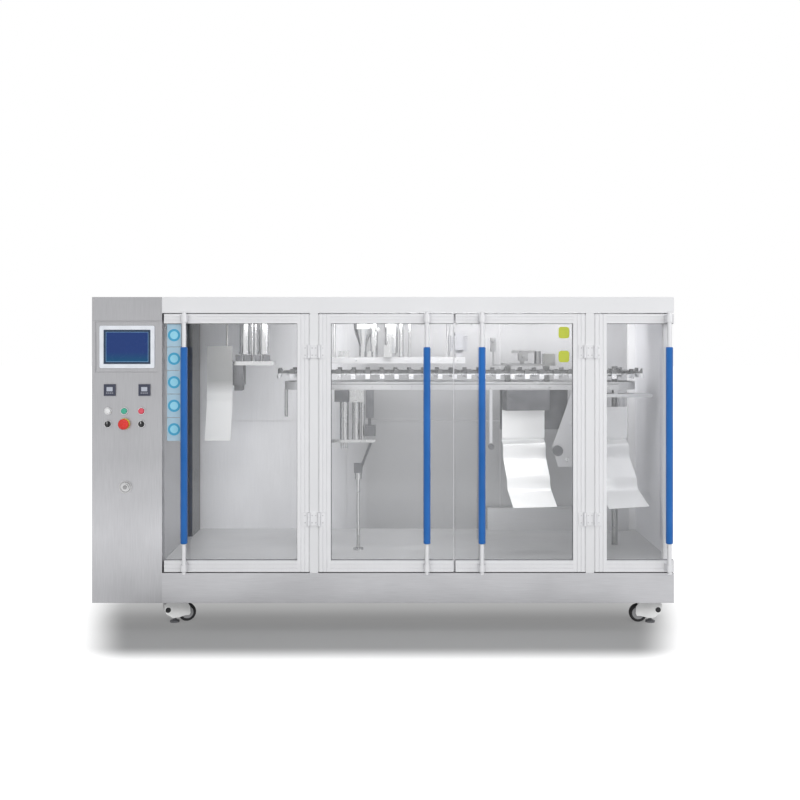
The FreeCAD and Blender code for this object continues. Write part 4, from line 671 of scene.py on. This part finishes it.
def rounded_tile(mesh_data, centre, width, height, depth, radius, steps=6):
    """Add an upright plate that faces -Y, with round corners and a chamfered front edge."""
    def ring(inset, y):
        points = []
        half_w, half_h = width / 2 - radius, height / 2 - radius
        for corner, (sx, sz) in enumerate(((1, 1), (-1, 1), (-1, -1), (1, -1))):
            for step in range(steps + 1):
                angle = math.pi / 2 * (corner + step / steps)
                reach = radius - inset
                x = centre[0] + sx * half_w + reach * math.cos(angle)
                z = centre[2] + sz * half_h + reach * math.sin(angle)
                points.append(mesh_data.verts.new((x, y, z)))
        return points

    edge = min(depth / 2, radius / 3)
    back = ring(0.0, centre[1])
    side = ring(0.0, centre[1] - depth + edge)
    front = ring(edge, centre[1] - depth)
    for low, high in ((back, side), (side, front)):
        for step in range(len(low)):
            after = (step + 1) % len(low)
            mesh_data.faces.new((low[step], low[after], high[after], high[step]))
    mesh_data.faces.new(back)
    mesh_data.faces.new(front)


# Outline of a screw head: radius and height as shares of the head's own
SCREW = [(0.0, 0.0), (1.0, 0.0), (1.0, 0.35), (0.8, 0.55), (0.42, 0.6), (0.38, 0.3), (0.0, 0.3)]


def screws(name, spots, axis, radius, height, body):
    """Round screw heads with a recess, all in one piece; the axis points out of the surface."""
    heads = bmesh.new()
    for spot in spots:
        turn(heads, [(r * radius, h * height) for r, h in SCREW], spot, axis, 12)
    return finish_piece(name, heads, machined(0.6), body)


# Operators, one for each group of like pieces

class PACKING_OT_brushed_sheets(bpy.types.Operator):
    """Brushed stainless steel on the base, the cabinet and the walls"""
    bl_idname = "packing.brushed_sheets"
    bl_label = "Brushed sheets"

    def execute(self, context):
        # The base skirts use a copy of the brushed sheet made 12 % paler: painted light.
        dress(brushed_sheet("x", 1.12), "base_skirts")
        dress(inner_wall("x"), "waste_trough")
        dress(brushed_sheet("z", 1.0), "cabinet_front", "cabinet_shell")
        dress(rear_wall(), "rear_panels")
        dress(bright_wall(), "right_end_panel")
        # The duct's near-black is partly painted shade: it also stands for the shade at the rear of the left
        # wall.
        dress(moulded("duct_painted_shade", 0.075, 0.075, 0.08, 0.5), "cable_duct")
        dress(deck_sheet(), "deck_plate")
        self.rivets()
        return {"FINISHED"}

    def rivets(self):
        """Rows of blind rivets along the sides of the rear sheets."""
        low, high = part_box("rear_panels")
        post_left, post_right, tube = -0.25, 0.65, 40 * MM
        inset, lowest, pitch = 14 * MM, 60 * MM, 150 * MM
        edges = [low.x + tube, post_left, post_left + tube, post_right, post_right + tube, high.x]
        spots = []
        for step, edge in enumerate(edges):
            x = edge + inset if step % 2 == 0 else edge - inset
            spots += [(x, high.y, low.z + lowest + pitch * count) for count in range(8)]
        screws("rear_rivets", spots, "y", 4 * MM, 1.6 * MM, "root")


class PACKING_OT_pale_panels(bpy.types.Operator):
    """Satin pale paint on the roof, the posts and the tubes"""
    bl_idname = "packing.pale_panels"
    bl_label = "Pale panels"

    def execute(self, context):
        dress(pale_paint(), "hood", "door_posts", "rear_posts", "header_rails")
        dress(moulded("coder_grey", 0.36, 0.36, 0.38, 0.4), "date_coder")
        return {"FINISHED"}


class PACKING_OT_doors(bpy.types.Operator):
    """Anodised profiles, clear sheets with a rubber bead, foam grips and the screws of the hinges"""
    bl_idname = "packing.doors"
    bl_label = "Doors"

    def execute(self, context):
        dress(anodised(), "hinge_pins")
        for letter in "abcd":
            dress(anodised(), f"door_{letter}_frame")
            dress(clear_sheet(), f"door_{letter}_glass")
            dress(foam(), f"grip_{letter}")
            self.bead(letter)
        self.seals()
        self.hinge_screws()
        return {"FINISHED"}

    def seals(self):
        """Pale rubber strips in the narrow gaps beside the posts, and one where two doors meet."""
        rubber = moulded("seal_rubber", 0.66, 0.66, 0.67, 0.5)
        low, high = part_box("door_posts")
        glass_low, glass_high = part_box("door_b_glass")
        bottom, top = glass_low.z - 44 * MM, glass_high.z + 34 * MM
        seals = bmesh.new()
        width, thick, play = 42 * MM, 4 * MM, 0.4 * MM
        for left in (low.x, high.x - width):
            for start in (left - thick - play, left + width + play):
                block(seals, (start, FRONT + 1 * MM, bottom), (start + thick, FRONT + 16 * MM, top))
        finish_piece("post_seals", seals, rubber, "root", smooth=False)
        strip = bmesh.new()
        block(strip, (glass_high.x, GLASS_FRONT - 6 * MM, bottom),
              (glass_high.x + 4.4 * MM, GLASS_FRONT + 8 * MM, top))
        finish_piece("meeting_strip", strip, rubber, "door_b", smooth=False)

    def hinge_screws(self):
        """Two countersunk screws in each hinge leaf."""
        low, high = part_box("hinge_pins")
        tall, inset = 66 * MM, 15 * MM
        heights = [low.z + inset, low.z + tall - inset, high.z - tall + inset, high.z - inset]
        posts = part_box("door_posts")
        left, right = posts[0].x + 21 * MM, posts[1].x - 21 * MM
        face, radius, thick = FRONT - 4 * MM, 3.4 * MM, 1.6 * MM
        spots = [(x + side * 9 * MM, face, z) for x in (left, right) for side in (-1, 1) for z in heights]
        screws("hinge_post_screws", spots, "-y", radius, thick, "root")
        for letter, centre, side in (("a", left, -1), ("b", left, 1), ("c", right, -1), ("d", right, 1)):
            spots = [(centre + side * 44 * MM, face, z) for z in heights]
            screws(f"hinge_screws_{letter}", spots, "-y", radius, thick, f"door_{letter}")

    def bead(self, letter):
        """A thin dark rubber bead where the clear sheet enters the profiles."""
        glass_low, glass_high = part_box(f"door_{letter}_glass")
        bite = 11 * MM
        width = 3.0 * MM
        y0, y1 = GLASS_FRONT - 2.0 * MM, GLASS_FRONT
        stile_left = letter in "bd"
        left = glass_low.x + (bite if stile_left else 0.0)
        right = glass_high.x - (0.0 if stile_left else bite)
        low, high = glass_low.z + bite, glass_high.z - bite
        bead = bmesh.new()
        block(bead, (left, y0, low), (right, y1, low + width))
        block(bead, (left, y0, high - width), (right, y1, high))
        edge = left if stile_left else right - width
        block(bead, (edge, y0, low + width), (edge + width, y1, high - width))
        finish_piece(f"door_{letter}_bead", bead, moulded("bead_rubber", 0.16, 0.16, 0.17, 0.6),
                     f"door_{letter}", smooth=False)


class PACKING_OT_operator_panel(bpy.types.Operator):
    """The screen, its bezel and the line around the picture"""
    bl_idname = "packing.operator_panel"
    bl_label = "Operator panel"

    def execute(self, context):
        dress(moulded("bezel_plastic", 0.84, 0.87, 0.92, 0.38), "hmi_bezel")
        dress(screen_glass(), "hmi_screen")
        dress(moulded("controller_plastic", 0.05, 0.055, 0.085, 0.4), "temperature_controllers")
        self.displays()
        low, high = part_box("hmi_screen")
        inset, line = 11 * MM, 1.6 * MM
        screen = (low.x, high.x, low.z, high.z)
        picture = (low.x + inset, high.x - inset, low.z + inset, high.z - inset)
        inset += line
        within = (low.x + inset, high.x - inset, low.z + inset, high.z - inset)
        frame_line = bmesh.new()
        rim(frame_line, picture, within, low.y - 0.4 * MM, low.y)
        finish_piece("screen_line", frame_line, print_film("screen_line_blue", 0.22, 0.44, 0.72), "root",
                     smooth=False)
        border = bmesh.new()
        rim(border, screen, picture, low.y - 0.2 * MM, low.y)
        finish_piece("screen_border", border, print_film("border_navy", 0.012, 0.035, 0.075), "root",
                     smooth=False)
        return {"FINISHED"}

    def displays(self):
        """A pale display and a row of keys in the sunk face of each controller."""
        low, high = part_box("temperature_controllers")
        side = high.z - low.z
        middle_z = (low.z + high.z) / 2
        glass, keys = bmesh.new(), bmesh.new()
        for x in (low.x + side / 2, high.x - side / 2):
            face = low.y + 2 * MM
            block(glass, (x - 15 * MM, face - 1.2 * MM, middle_z - 6 * MM),
                  (x + 15 * MM, face, middle_z + 15 * MM))
            for step in range(4):
                left = x - 18 * MM + step * 9.6 * MM
                block(keys, (left, face - 1.4 * MM, middle_z - 18 * MM),
                      (left + 7 * MM, face, middle_z - 12 * MM))
        finish_piece("controller_displays", glass, print_film("display_pale", 0.5, 0.53, 0.6), "root",
                     smooth=False)
        finish_piece("controller_keys", keys, moulded("key_grey", 0.3, 0.31, 0.36, 0.5), "root",
                     smooth=False)


class PACKING_OT_push_buttons(bpy.types.Operator):
    """Chrome rings, the lamp, two push buttons, the emergency stop and both selectors"""
    bl_idname = "packing.push_buttons"
    bl_label = "Push buttons"

    def execute(self, context):
        left = (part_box("selector_left")[0].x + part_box("selector_left")[1].x) / 2
        right = (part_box("selector_right")[0].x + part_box("selector_right")[1].x) / 2
        stop_low, stop_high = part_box("emergency_stop")
        middle = (stop_low.x + stop_high.x) / 2
        lower = (stop_low.z + stop_high.z) / 2
        rings_low, rings_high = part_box("push_buttons")
        radius = left - rings_low.x
        upper = rings_high.z - radius
        rings = bmesh.new()
        profile = [(radius, 0.0), (radius, 4 * MM), (radius - 1.5 * MM, 6 * MM), (radius - 4 * MM, 6 * MM),
                   (radius - 4.5 * MM, 3 * MM), (0.0, 3 * MM)]
        for x in (left, middle, right):
            for z in (upper, lower):
                turn(rings, profile, (x, FRONT, z), "-y", 40)
        piece = finish_piece("button_rings", rings, polished("ring_chrome", 0.7, 0.16), "root")
        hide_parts("push_buttons")
        cap = [(share * radius, tall * MM) for share, tall in
               ((0.74, 3), (0.74, 14), (0.67, 16.4), (0.5, 17.6), (0.24, 18), (0.0, 18))]
        for name, x, colour, slot in (("lamp_white", left, (0.86, 0.86, 0.86), "pale_plastic"),
                                      ("button_green", middle, (0.05, 0.42, 0.28), "green_plastic"),
                                      ("button_red", right, (0.72, 0.08, 0.12), "red_plastic")):
            caps = bmesh.new()
            turn(caps, cap, (x, FRONT, upper), "-y", 40)
            finish_piece(name, caps, moulded(f"{name}_plastic", *colour, 0.22), "root")
        head = bmesh.new()
        reach = FRONT - stop_low.y
        wide = (stop_high.x - stop_low.x) / 2
        turn(head, [(12 * MM, 3 * MM), (12 * MM, reach - 14 * MM), (wide, reach - 11.5 * MM),
                    (wide, reach - 8 * MM), (wide * 0.93, reach - 4 * MM), (wide * 0.75, reach - 1.5 * MM),
                    (wide * 0.4, reach), (0.0, reach)], (middle, FRONT, lower), "-y", 48)
        stop = finish_piece("stop_head", head, moulded("stop_red", 0.72, 0.03, 0.02, 0.25), "root")
        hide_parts("emergency_stop")
        collar = bmesh.new()
        turn(collar, [(0.0, 0.0), (wide + 1 * MM, 0.0), (wide + 1 * MM, 1.2 * MM), (radius, 1.2 * MM)],
             (middle, FRONT, lower), "-y", 48)
        finish_piece("stop_collar", collar, moulded("collar_yellow", 0.75, 0.62, 0.05, 0.4), "root")
        dress(moulded("selector_black", 0.02, 0.02, 0.022, 0.35), "selector_left", "selector_right")
        for side, x in (("left", left), ("right", right)):
            low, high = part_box(f"selector_{side}")
            mark = bmesh.new()
            block(mark, (x - 1.2 * MM, low.y - 0.4 * MM, lower + 2 * MM),
                  (x + 1.2 * MM, low.y, high.z - 2 * MM))
            finish_piece(f"selector_{side}_mark", mark, moulded("mark_white", 0.8, 0.8, 0.8, 0.4),
                         f"selector_body_{side}", smooth=False)
        return {"FINISHED"}


class PACKING_OT_cabinet_lock(bpy.types.Operator):
    """The bright lock in the middle of the cabinet's cover"""
    bl_idname = "packing.cabinet_lock"
    bl_label = "Cabinet lock"

    def execute(self, context):
        dress(polished("lock_chrome", 0.5, 0.16), "cabinet_lock")
        low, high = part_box("cabinet_lock")
        x, z = (low.x + high.x) / 2, (low.z + high.z) / 2
        plug = bmesh.new()
        turn(plug, [(11 * MM, 0.0), (11 * MM, 1.0 * MM), (10 * MM, 1.6 * MM), (4.6 * MM, 1.6 * MM),
                    (4.4 * MM, 0.6 * MM), (0.0, 0.6 * MM)], (x, low.y, z), "-y", 32)
        finish_piece("lock_plug", plug, polished("plug_steel", 0.3, 0.22), "root")
        ring = bmesh.new()
        wide = high.x - x
        turn(ring, [(wide - 2 * MM, 0.0), (wide - 2 * MM, 1.2 * MM), (wide - 6 * MM, 2 * MM),
                    (wide - 10 * MM, 0.4 * MM)], (x, FRONT - 6 * MM, z), "-y", 48)
        finish_piece("lock_ring", ring, polished("lock_edge", 0.4, 0.2), "root")
        return {"FINISHED"}


class PACKING_OT_labels(bpy.types.Operator):
    """A strip of plain tiles with round spots on the first door, and two plain tags on the third"""
    bl_idname = "packing.labels"
    bl_label = "Labels"

    def execute(self, context):
        settings = look().label
        film, ink = 0.5 * MM, 0.2 * MM
        strip_x, strip_top, strip_width, gap = -1.048, 1.523, 70 * MM, 3 * MM
        spot_radius, centre_radius = 31 * MM, 20 * MM
        tag_x, tag_heights = 0.907, (1.477, 1.357)
        tiles, spots, centres = bmesh.new(), bmesh.new(), bmesh.new()
        face = GLASS_FRONT - film
        for step in range(5):
            z = strip_top - settings.tile_height * (step + 0.5)
            rounded_tile(tiles, (strip_x, GLASS_FRONT, z), strip_width, settings.tile_height - gap, film,
                         4 * MM)
            turn(spots, [(spot_radius, 0.0), (spot_radius, ink), (0.0, ink)], (strip_x, face, z), "-y", 48)
            turn(centres, [(centre_radius, 0.0), (centre_radius, ink), (0.0, ink)],
                 (strip_x, face - ink, z), "-y", 40)
        finish_piece("label_tiles", tiles, print_film("tile_white", 0.4, 0.57, 0.68), "door_a")
        finish_piece("label_spots", spots, print_film("spot_cyan", *settings.spot), "door_a")
        finish_piece("label_centres", centres, print_film("spot_pale", 0.3, 0.66, 0.82), "door_a")
        tags = bmesh.new()
        for z in tag_heights:
            rounded_tile(tags, (tag_x, GLASS_FRONT, z), 54 * MM, 58 * MM, film, 14 * MM)
        finish_piece("yellow_tags", tags, print_film("tag_yellow", *settings.tag), "door_c")
        return {"FINISHED"}


class PACKING_OT_gripper_line(bpy.types.Operator):
    """The chain of grippers with its pins, the rail, the wheels and the columns"""
    bl_idname = "packing.gripper_line"
    bl_label = "Gripper line"

    def execute(self, context):
        dress(gripper_steel(), "gripper_chain")
        dress(machined(0.3), "turn_wheels")
        dress(beam_metal(), "guide_rail", "track_beam", "station_beam")
        dress(inner_wall("z"), "support_columns")
        self.pins()
        return {"FINISHED"}

    def pins(self):
        """A rivet over each lug of the chain."""
        low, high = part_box("guide_rail")
        half_rail = 7 * MM
        radius = (high.y - low.y) / 2 - half_rail
        middle = (low.y + high.y) / 2
        left, right = low.x + radius + half_rail, high.x - radius - half_rail
        run, bend = right - left, math.pi * radius
        count = 52
        shaft_over, lug_over = 40 * MM, 2 * MM
        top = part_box("turn_wheels")[1].z - shaft_over + lug_over
        rivets = bmesh.new()
        for step in range(count):
            way = (2 * run + 2 * bend) * step / count
            if way < run:
                spot = (left + way, middle - radius)
            elif way < run + bend:
                angle = (way - run) / radius
                spot = (right + radius * math.sin(angle), middle - radius * math.cos(angle))
            elif way < 2 * run + bend:
                spot = (right - (way - run - bend), middle + radius)
            else:
                angle = math.pi + (way - 2 * run - bend) / radius
                spot = (left + radius * math.sin(angle), middle - radius * math.cos(angle))
            turn(rivets, [(4 * MM, -3 * MM), (4 * MM, 1.5 * MM), (2.6 * MM, 2.6 * MM), (0.0, 2.8 * MM)],
                 (*spot, top), "z", 12)
        finish_piece("chain_rivets", rivets, polished("rivet_steel", 0.62, 0.2), "root")
        self.rail_fittings(left, right)

    def rail_fittings(self, left, right):
        """Bolts and a dark strip of painted shade that stands for a milled groove along the rail's straight
        front run, and bolts on the beam above it.
        """
        low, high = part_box("guide_rail")
        face, level = low.y, low.z + 14 * MM
        count = 16
        spots = [(left + (right - left) * (step + 0.5) / count, face, level) for step in range(count)]
        screws("rail_bolts", spots, "-y", 5 * MM, 3.5 * MM, "root")
        # Painted shade: a thin dark strip on the face stands for the groove's shade.
        groove = bmesh.new()
        block(groove, (left, face - 0.3 * MM, high.z - 13 * MM), (right, face, high.z - 10 * MM))
        finish_piece("rail_groove", groove, moulded("groove_painted_shade", 0.11, 0.11, 0.115, 0.5), "root",
                     smooth=False)
        low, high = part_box("station_beam")
        count = 8
        spots = [(low.x + (high.x - low.x) * (step + 0.5) / count, low.y, low.z + 16 * MM)
                 for step in range(count)]
        screws("beam_bolts", spots, "-y", 5 * MM, 3.5 * MM, "root")


class PACKING_OT_stations(bpy.types.Operator):
    """Sealing, filling, opening and lifting stations"""
    bl_idname = "packing.stations"
    bl_label = "Stations"

    def execute(self, context):
        dress(polished("cylinder_steel", 0.68, 0.2), "sealing_cylinders", "filling_heads")
        dress(dark_coat(), "sealing_jaws", "lift_unit")
        dress(machined(0.34), "opening_station")
        dress(polished("lift_steel", 0.5, 0.24), "lift_cylinders")
        return {"FINISHED"}


class PACKING_OT_chutes(bpy.types.Operator):
    """Polished wavy chutes, their boxes and the outfeed guard"""
    bl_idname = "packing.chutes"
    bl_label = "Chutes"

    def execute(self, context):
        dress(satin_sheet(), "pouch_chutes")
        dress(guard_sheet(), "outfeed_guard")
        # The chute boxes' dark coat is partly painted shade: it also stands for the shade behind the chutes.
        dress(dark_coat(), "chute_boxes")
        dress(inner_wall("z"), "chute_side_plates")
        edge, aside, upper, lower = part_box("chute_boxes")[1].x, 12 * MM, 0.993, 0.8
        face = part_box("guide_rail")[0].y + 4 * MM
        screws("side_plate_bolts", [(edge + aside, face, upper), (edge - aside, face, lower)], "-y",
               11 * MM, 8 * MM, "root")
        return {"FINISHED"}


class PACKING_OT_base(bpy.types.Operator):
    """Chassis, casters and wheels, with levelling dials and hubs"""
    bl_idname = "packing.base"
    bl_label = "Base and casters"

    def execute(self, context):
        dress(brushed_sheet("x", 1.02), "chassis_frame")
        dress(dark_coat(), "caster_mounts")
        for place in ("front_left", "front_right", "rear_left", "rear_right"):
            dress(moulded("caster_nylon", 0.93, 0.93, 0.92, 0.4), f"caster_{place}")
            dress(tyre_rubber(), f"wheel_{place}")
            self.dial(place)
            self.hub(place)
        return {"FINISHED"}

    def axes(self, place):
        """The stem's spot, the wheel's centre and its axle direction, from the frame's joints."""
        joints = {joint["name"]: joint for joint in frame["joints"]}
        stem = Vector(joints[f"{place}_swivel"]["pos_m"])
        roll = joints[f"{place}_roll"]
        return stem, Vector(roll["pos_m"]), Vector(roll["axis"]).normalized()

    def dial(self, place):
        """The knurled levelling dial that shows on both sides behind the stem."""
        stem, wheel, axle = self.axes(place)
        back = Vector((stem.x - wheel.x, stem.y - wheel.y, 0)).normalized()
        spot = Vector((stem.x, stem.y, 68 * MM)) + back * 37 * MM
        dial = bmesh.new()
        radius, half = 13.5 * MM, 28 * MM
        profile = [(0.0, -half), (radius * 0.8, -half), (radius, -half + 2 * MM), (radius, half - 2 * MM),
                   (radius * 0.8, half), (0.0, half)]
        turn(dial, profile, spot, axle, 30)
        finish_piece(f"caster_dial_{place}", dial, moulded("dial_black", 0.02, 0.02, 0.022, 0.45),
                     f"swivel_{place}")

    def hub(self, place):
        """The pale hub disc on both sides of the wheel."""
        wheel, axle = self.axes(place)[1:]
        hub = bmesh.new()
        inner, radius, half = 6 * MM, 31 * MM, 16.8 * MM
        profile = [(inner, -half), (radius - 1 * MM, -half), (radius, -half + 1.3 * MM),
                   (radius, half - 1.3 * MM), (radius - 1 * MM, half), (inner, half)]
        turn(hub, profile, wheel, axle, 40)
        finish_piece(f"wheel_hub_{place}", hub, moulded("hub_grey", 0.35, 0.35, 0.36, 0.45),
                     f"roller_{place}")


class PACKING_OT_stage(bpy.types.Operator):
    """White floor, soft studio light and the camera in front of the machine"""
    bl_idname = "packing.stage"
    bl_label = "Stage"

    def execute(self, context):
        self.floor()
        self.world()
        self.lamps()
        self.camera()
        bpy.context.scene.view_settings.view_transform = "Standard"
        return {"FINISHED"}

    def floor(self):
        """A wide grey floor that glows white for the camera, less so within a soft painted shadow under the
        machine, where painted light grows towards the rear.
        """
        half = 40.0
        mesh = bpy.data.meshes.new("floor")
        mesh.from_pydata([(-half, -half, 0), (half, -half, 0), (half, half, 0), (-half, half, 0)], [],
                         [(0, 1, 2, 3)])
        floor = bpy.data.objects.new("floor", mesh)
        bpy.context.scene.collection.objects.link(floor)
        grey, end_inset, end_slope, rear_reach = 0.27, 70 * MM, -0.25, 270 * MM
        fade, near_glow, front_edge, rear_edge = 0.3, look().stage.floor, -0.5, 0.1
        finish = Finish("white_floor", (grey, grey, grey), 0.0, 0.9)
        finish.set("Specular IOR Level", 0.1)
        # Painted shadow: a soft rectangle round the machine's footprint, narrower towards its front and rear,
        # where the floor's glow drops.
        away = finish.vector_math("ABSOLUTE", finish.place)
        side = finish.math("MULTIPLY_ADD", finish.along(away, "Y"), end_slope, CAD_BOX[1][0] - end_inset)
        painted_shadow_size = finish.add("ShaderNodeCombineXYZ")
        finish.put(side, painted_shadow_size.inputs["X"])
        finish.put(BACK + rear_reach, painted_shadow_size.inputs["Y"])
        beyond = finish.vector_math("SUBTRACT", away, painted_shadow_size.outputs["Vector"])
        reach = finish.vector_math("LENGTH", finish.vector_math("MAXIMUM", beyond), output="Value")
        # Painted light under the machine: inside the painted shadow the glow grows from the front towards the
        # rear.
        under = finish.ranged(finish.along(finish.place, "Y"), near_glow, near_glow + fade,
                              front_edge, rear_edge, "SMOOTHSTEP")
        spread = finish.ranged(reach, under, 1.0, 0.0, fade, "SMOOTHSTEP")
        glow = finish.add("ShaderNodeEmission")
        finish.put(finish.math("MULTIPLY", finish.shown_share(), spread), glow.inputs["Strength"])
        both = finish.add("ShaderNodeAddShader")
        finish.join(finish.shader.outputs["BSDF"], both.inputs[0])
        finish.join(glow.outputs["Emission"], both.inputs[1])
        finish.join(both.outputs["Shader"], finish.tree.nodes["Material Output"].inputs["Surface"])
        mesh.materials.append(finish.material)

    def world(self):
        """Dim cool light all round, and plain white where the camera looks past the machine."""
        world = bpy.data.worlds.new("studio")
        bpy.context.scene.world = world
        world.use_nodes = True
        nodes = Nodes(world.node_tree)
        ambient = nodes.tree.nodes["Background"]
        white = nodes.add("ShaderNodeBackground")
        for background, colour, strength in ((ambient, (0.95, 0.97, 1.0, 1.0), 0.42),
                                             (white, (1.0, 1.0, 1.0, 1.0), 1.0)):
            background.inputs["Color"].default_value = colour
            background.inputs["Strength"].default_value = strength
        mix = nodes.add("ShaderNodeMixShader")
        nodes.join(nodes.shown_share(), mix.inputs["Fac"])
        nodes.join(ambient.outputs["Background"], mix.inputs[1])
        nodes.join(white.outputs["Background"], mix.inputs[2])
        nodes.join(mix.outputs["Shader"], nodes.tree.nodes["World Output"].inputs["Surface"])

    def lamps(self):
        """Soft lamps: name, place, target, width, height, watts, and whether metal mirrors it."""
        lamps = (
            ("front_lamp", (0.0, -5.8, 3.6), (0.0, 0.0, 0.8), 6.0, 2.2, 150.0, False),
            ("low_lamp", (0.0, -6.0, 0.9), (0.0, 0.0, 0.7), 6.0, 0.8, 75.0, False),
            ("top_lamp", (0.0, 1.2, 5.0), (0.0, -0.1, 0.0), 5.0, 2.0, 55.0, True),
            ("right_lamp", (5.0, -3.0, 3.0), (0.0, 0.0, 0.8), 2.5, 2.5, 60.0, True),
            ("roof_lamp", (0.2, -0.31, 1.525), (0.2, -0.08, 0.6), 1.9, 0.09, 5.8, True),
            ("wall_lamp", (0.52, 0.12, 1.54), (0.52, 0.6, 1.25), 1.5, 0.1, 8.5, False),
        )
        for name, spot, target, width, height, power, mirrored in lamps:
            data = bpy.data.lights.new(name, "AREA")
            data.shape = "RECTANGLE"
            data.size = width
            data.size_y = height
            data.energy = power
            lamp = bpy.data.objects.new(name, data)
            lamp.location = spot
            lamp.visible_glossy = mirrored
            lamp.visible_camera = False
            lamp.rotation_euler = (Vector(target) - Vector(spot)).to_track_quat("-Z", "Y").to_euler()
            bpy.context.scene.collection.objects.link(lamp)

    def camera(self):
        """The camera in front of the doors, level, with its picture shifted down."""
        settings = look().stage
        data = bpy.data.cameras.new("camera")
        data.lens = settings.lens
        data.sensor_width = 36.0
        data.shift_y = -0.0875
        camera = bpy.data.objects.new("camera", data)
        camera.location = (0.085, FRONT - settings.distance, settings.height)
        camera.rotation_euler = (math.radians(90), 0.0, 0.0)
        bpy.context.scene.collection.objects.link(camera)
        bpy.context.scene.camera = camera


OPERATORS = (
    PACKING_OT_brushed_sheets,
    PACKING_OT_pale_panels,
    PACKING_OT_doors,
    PACKING_OT_operator_panel,
    PACKING_OT_push_buttons,
    PACKING_OT_cabinet_lock,
    PACKING_OT_labels,
    PACKING_OT_gripper_line,
    PACKING_OT_stations,
    PACKING_OT_chutes,
    PACKING_OT_base,
    PACKING_OT_stage,
)


class PACKING_PT_sidebar(bpy.types.Panel):
    """Lists the machine's groups of pieces"""
    bl_label = "Packing machine"
    bl_idname = "PACKING_PT_sidebar"
    bl_space_type = "VIEW_3D"
    bl_region_type = "UI"
    bl_category = "Packing machine"

    def draw(self, context):
        for operator in OPERATORS:
            self.layout.operator(operator.bl_idname)


CLASSES = (SteelLook, PanelLook, FoamLook, LabelLook, StageLook, MachineLook, *OPERATORS,
           PACKING_PT_sidebar)


def register():
    for item in CLASSES:
        bpy.utils.register_class(item)
    bpy.types.Scene.packing_machine = bpy.props.PointerProperty(type=MachineLook)


def unregister():
    del bpy.types.Scene.packing_machine
    for item in reversed(CLASSES):
        bpy.utils.unregister_class(item)


def main():
    """Make every group of pieces in order."""
    register()
    for operator in OPERATORS:
        group, name = operator.bl_idname.split(".")
        getattr(getattr(bpy.ops, group), name)()


if __name__ == "__main__":
    main()
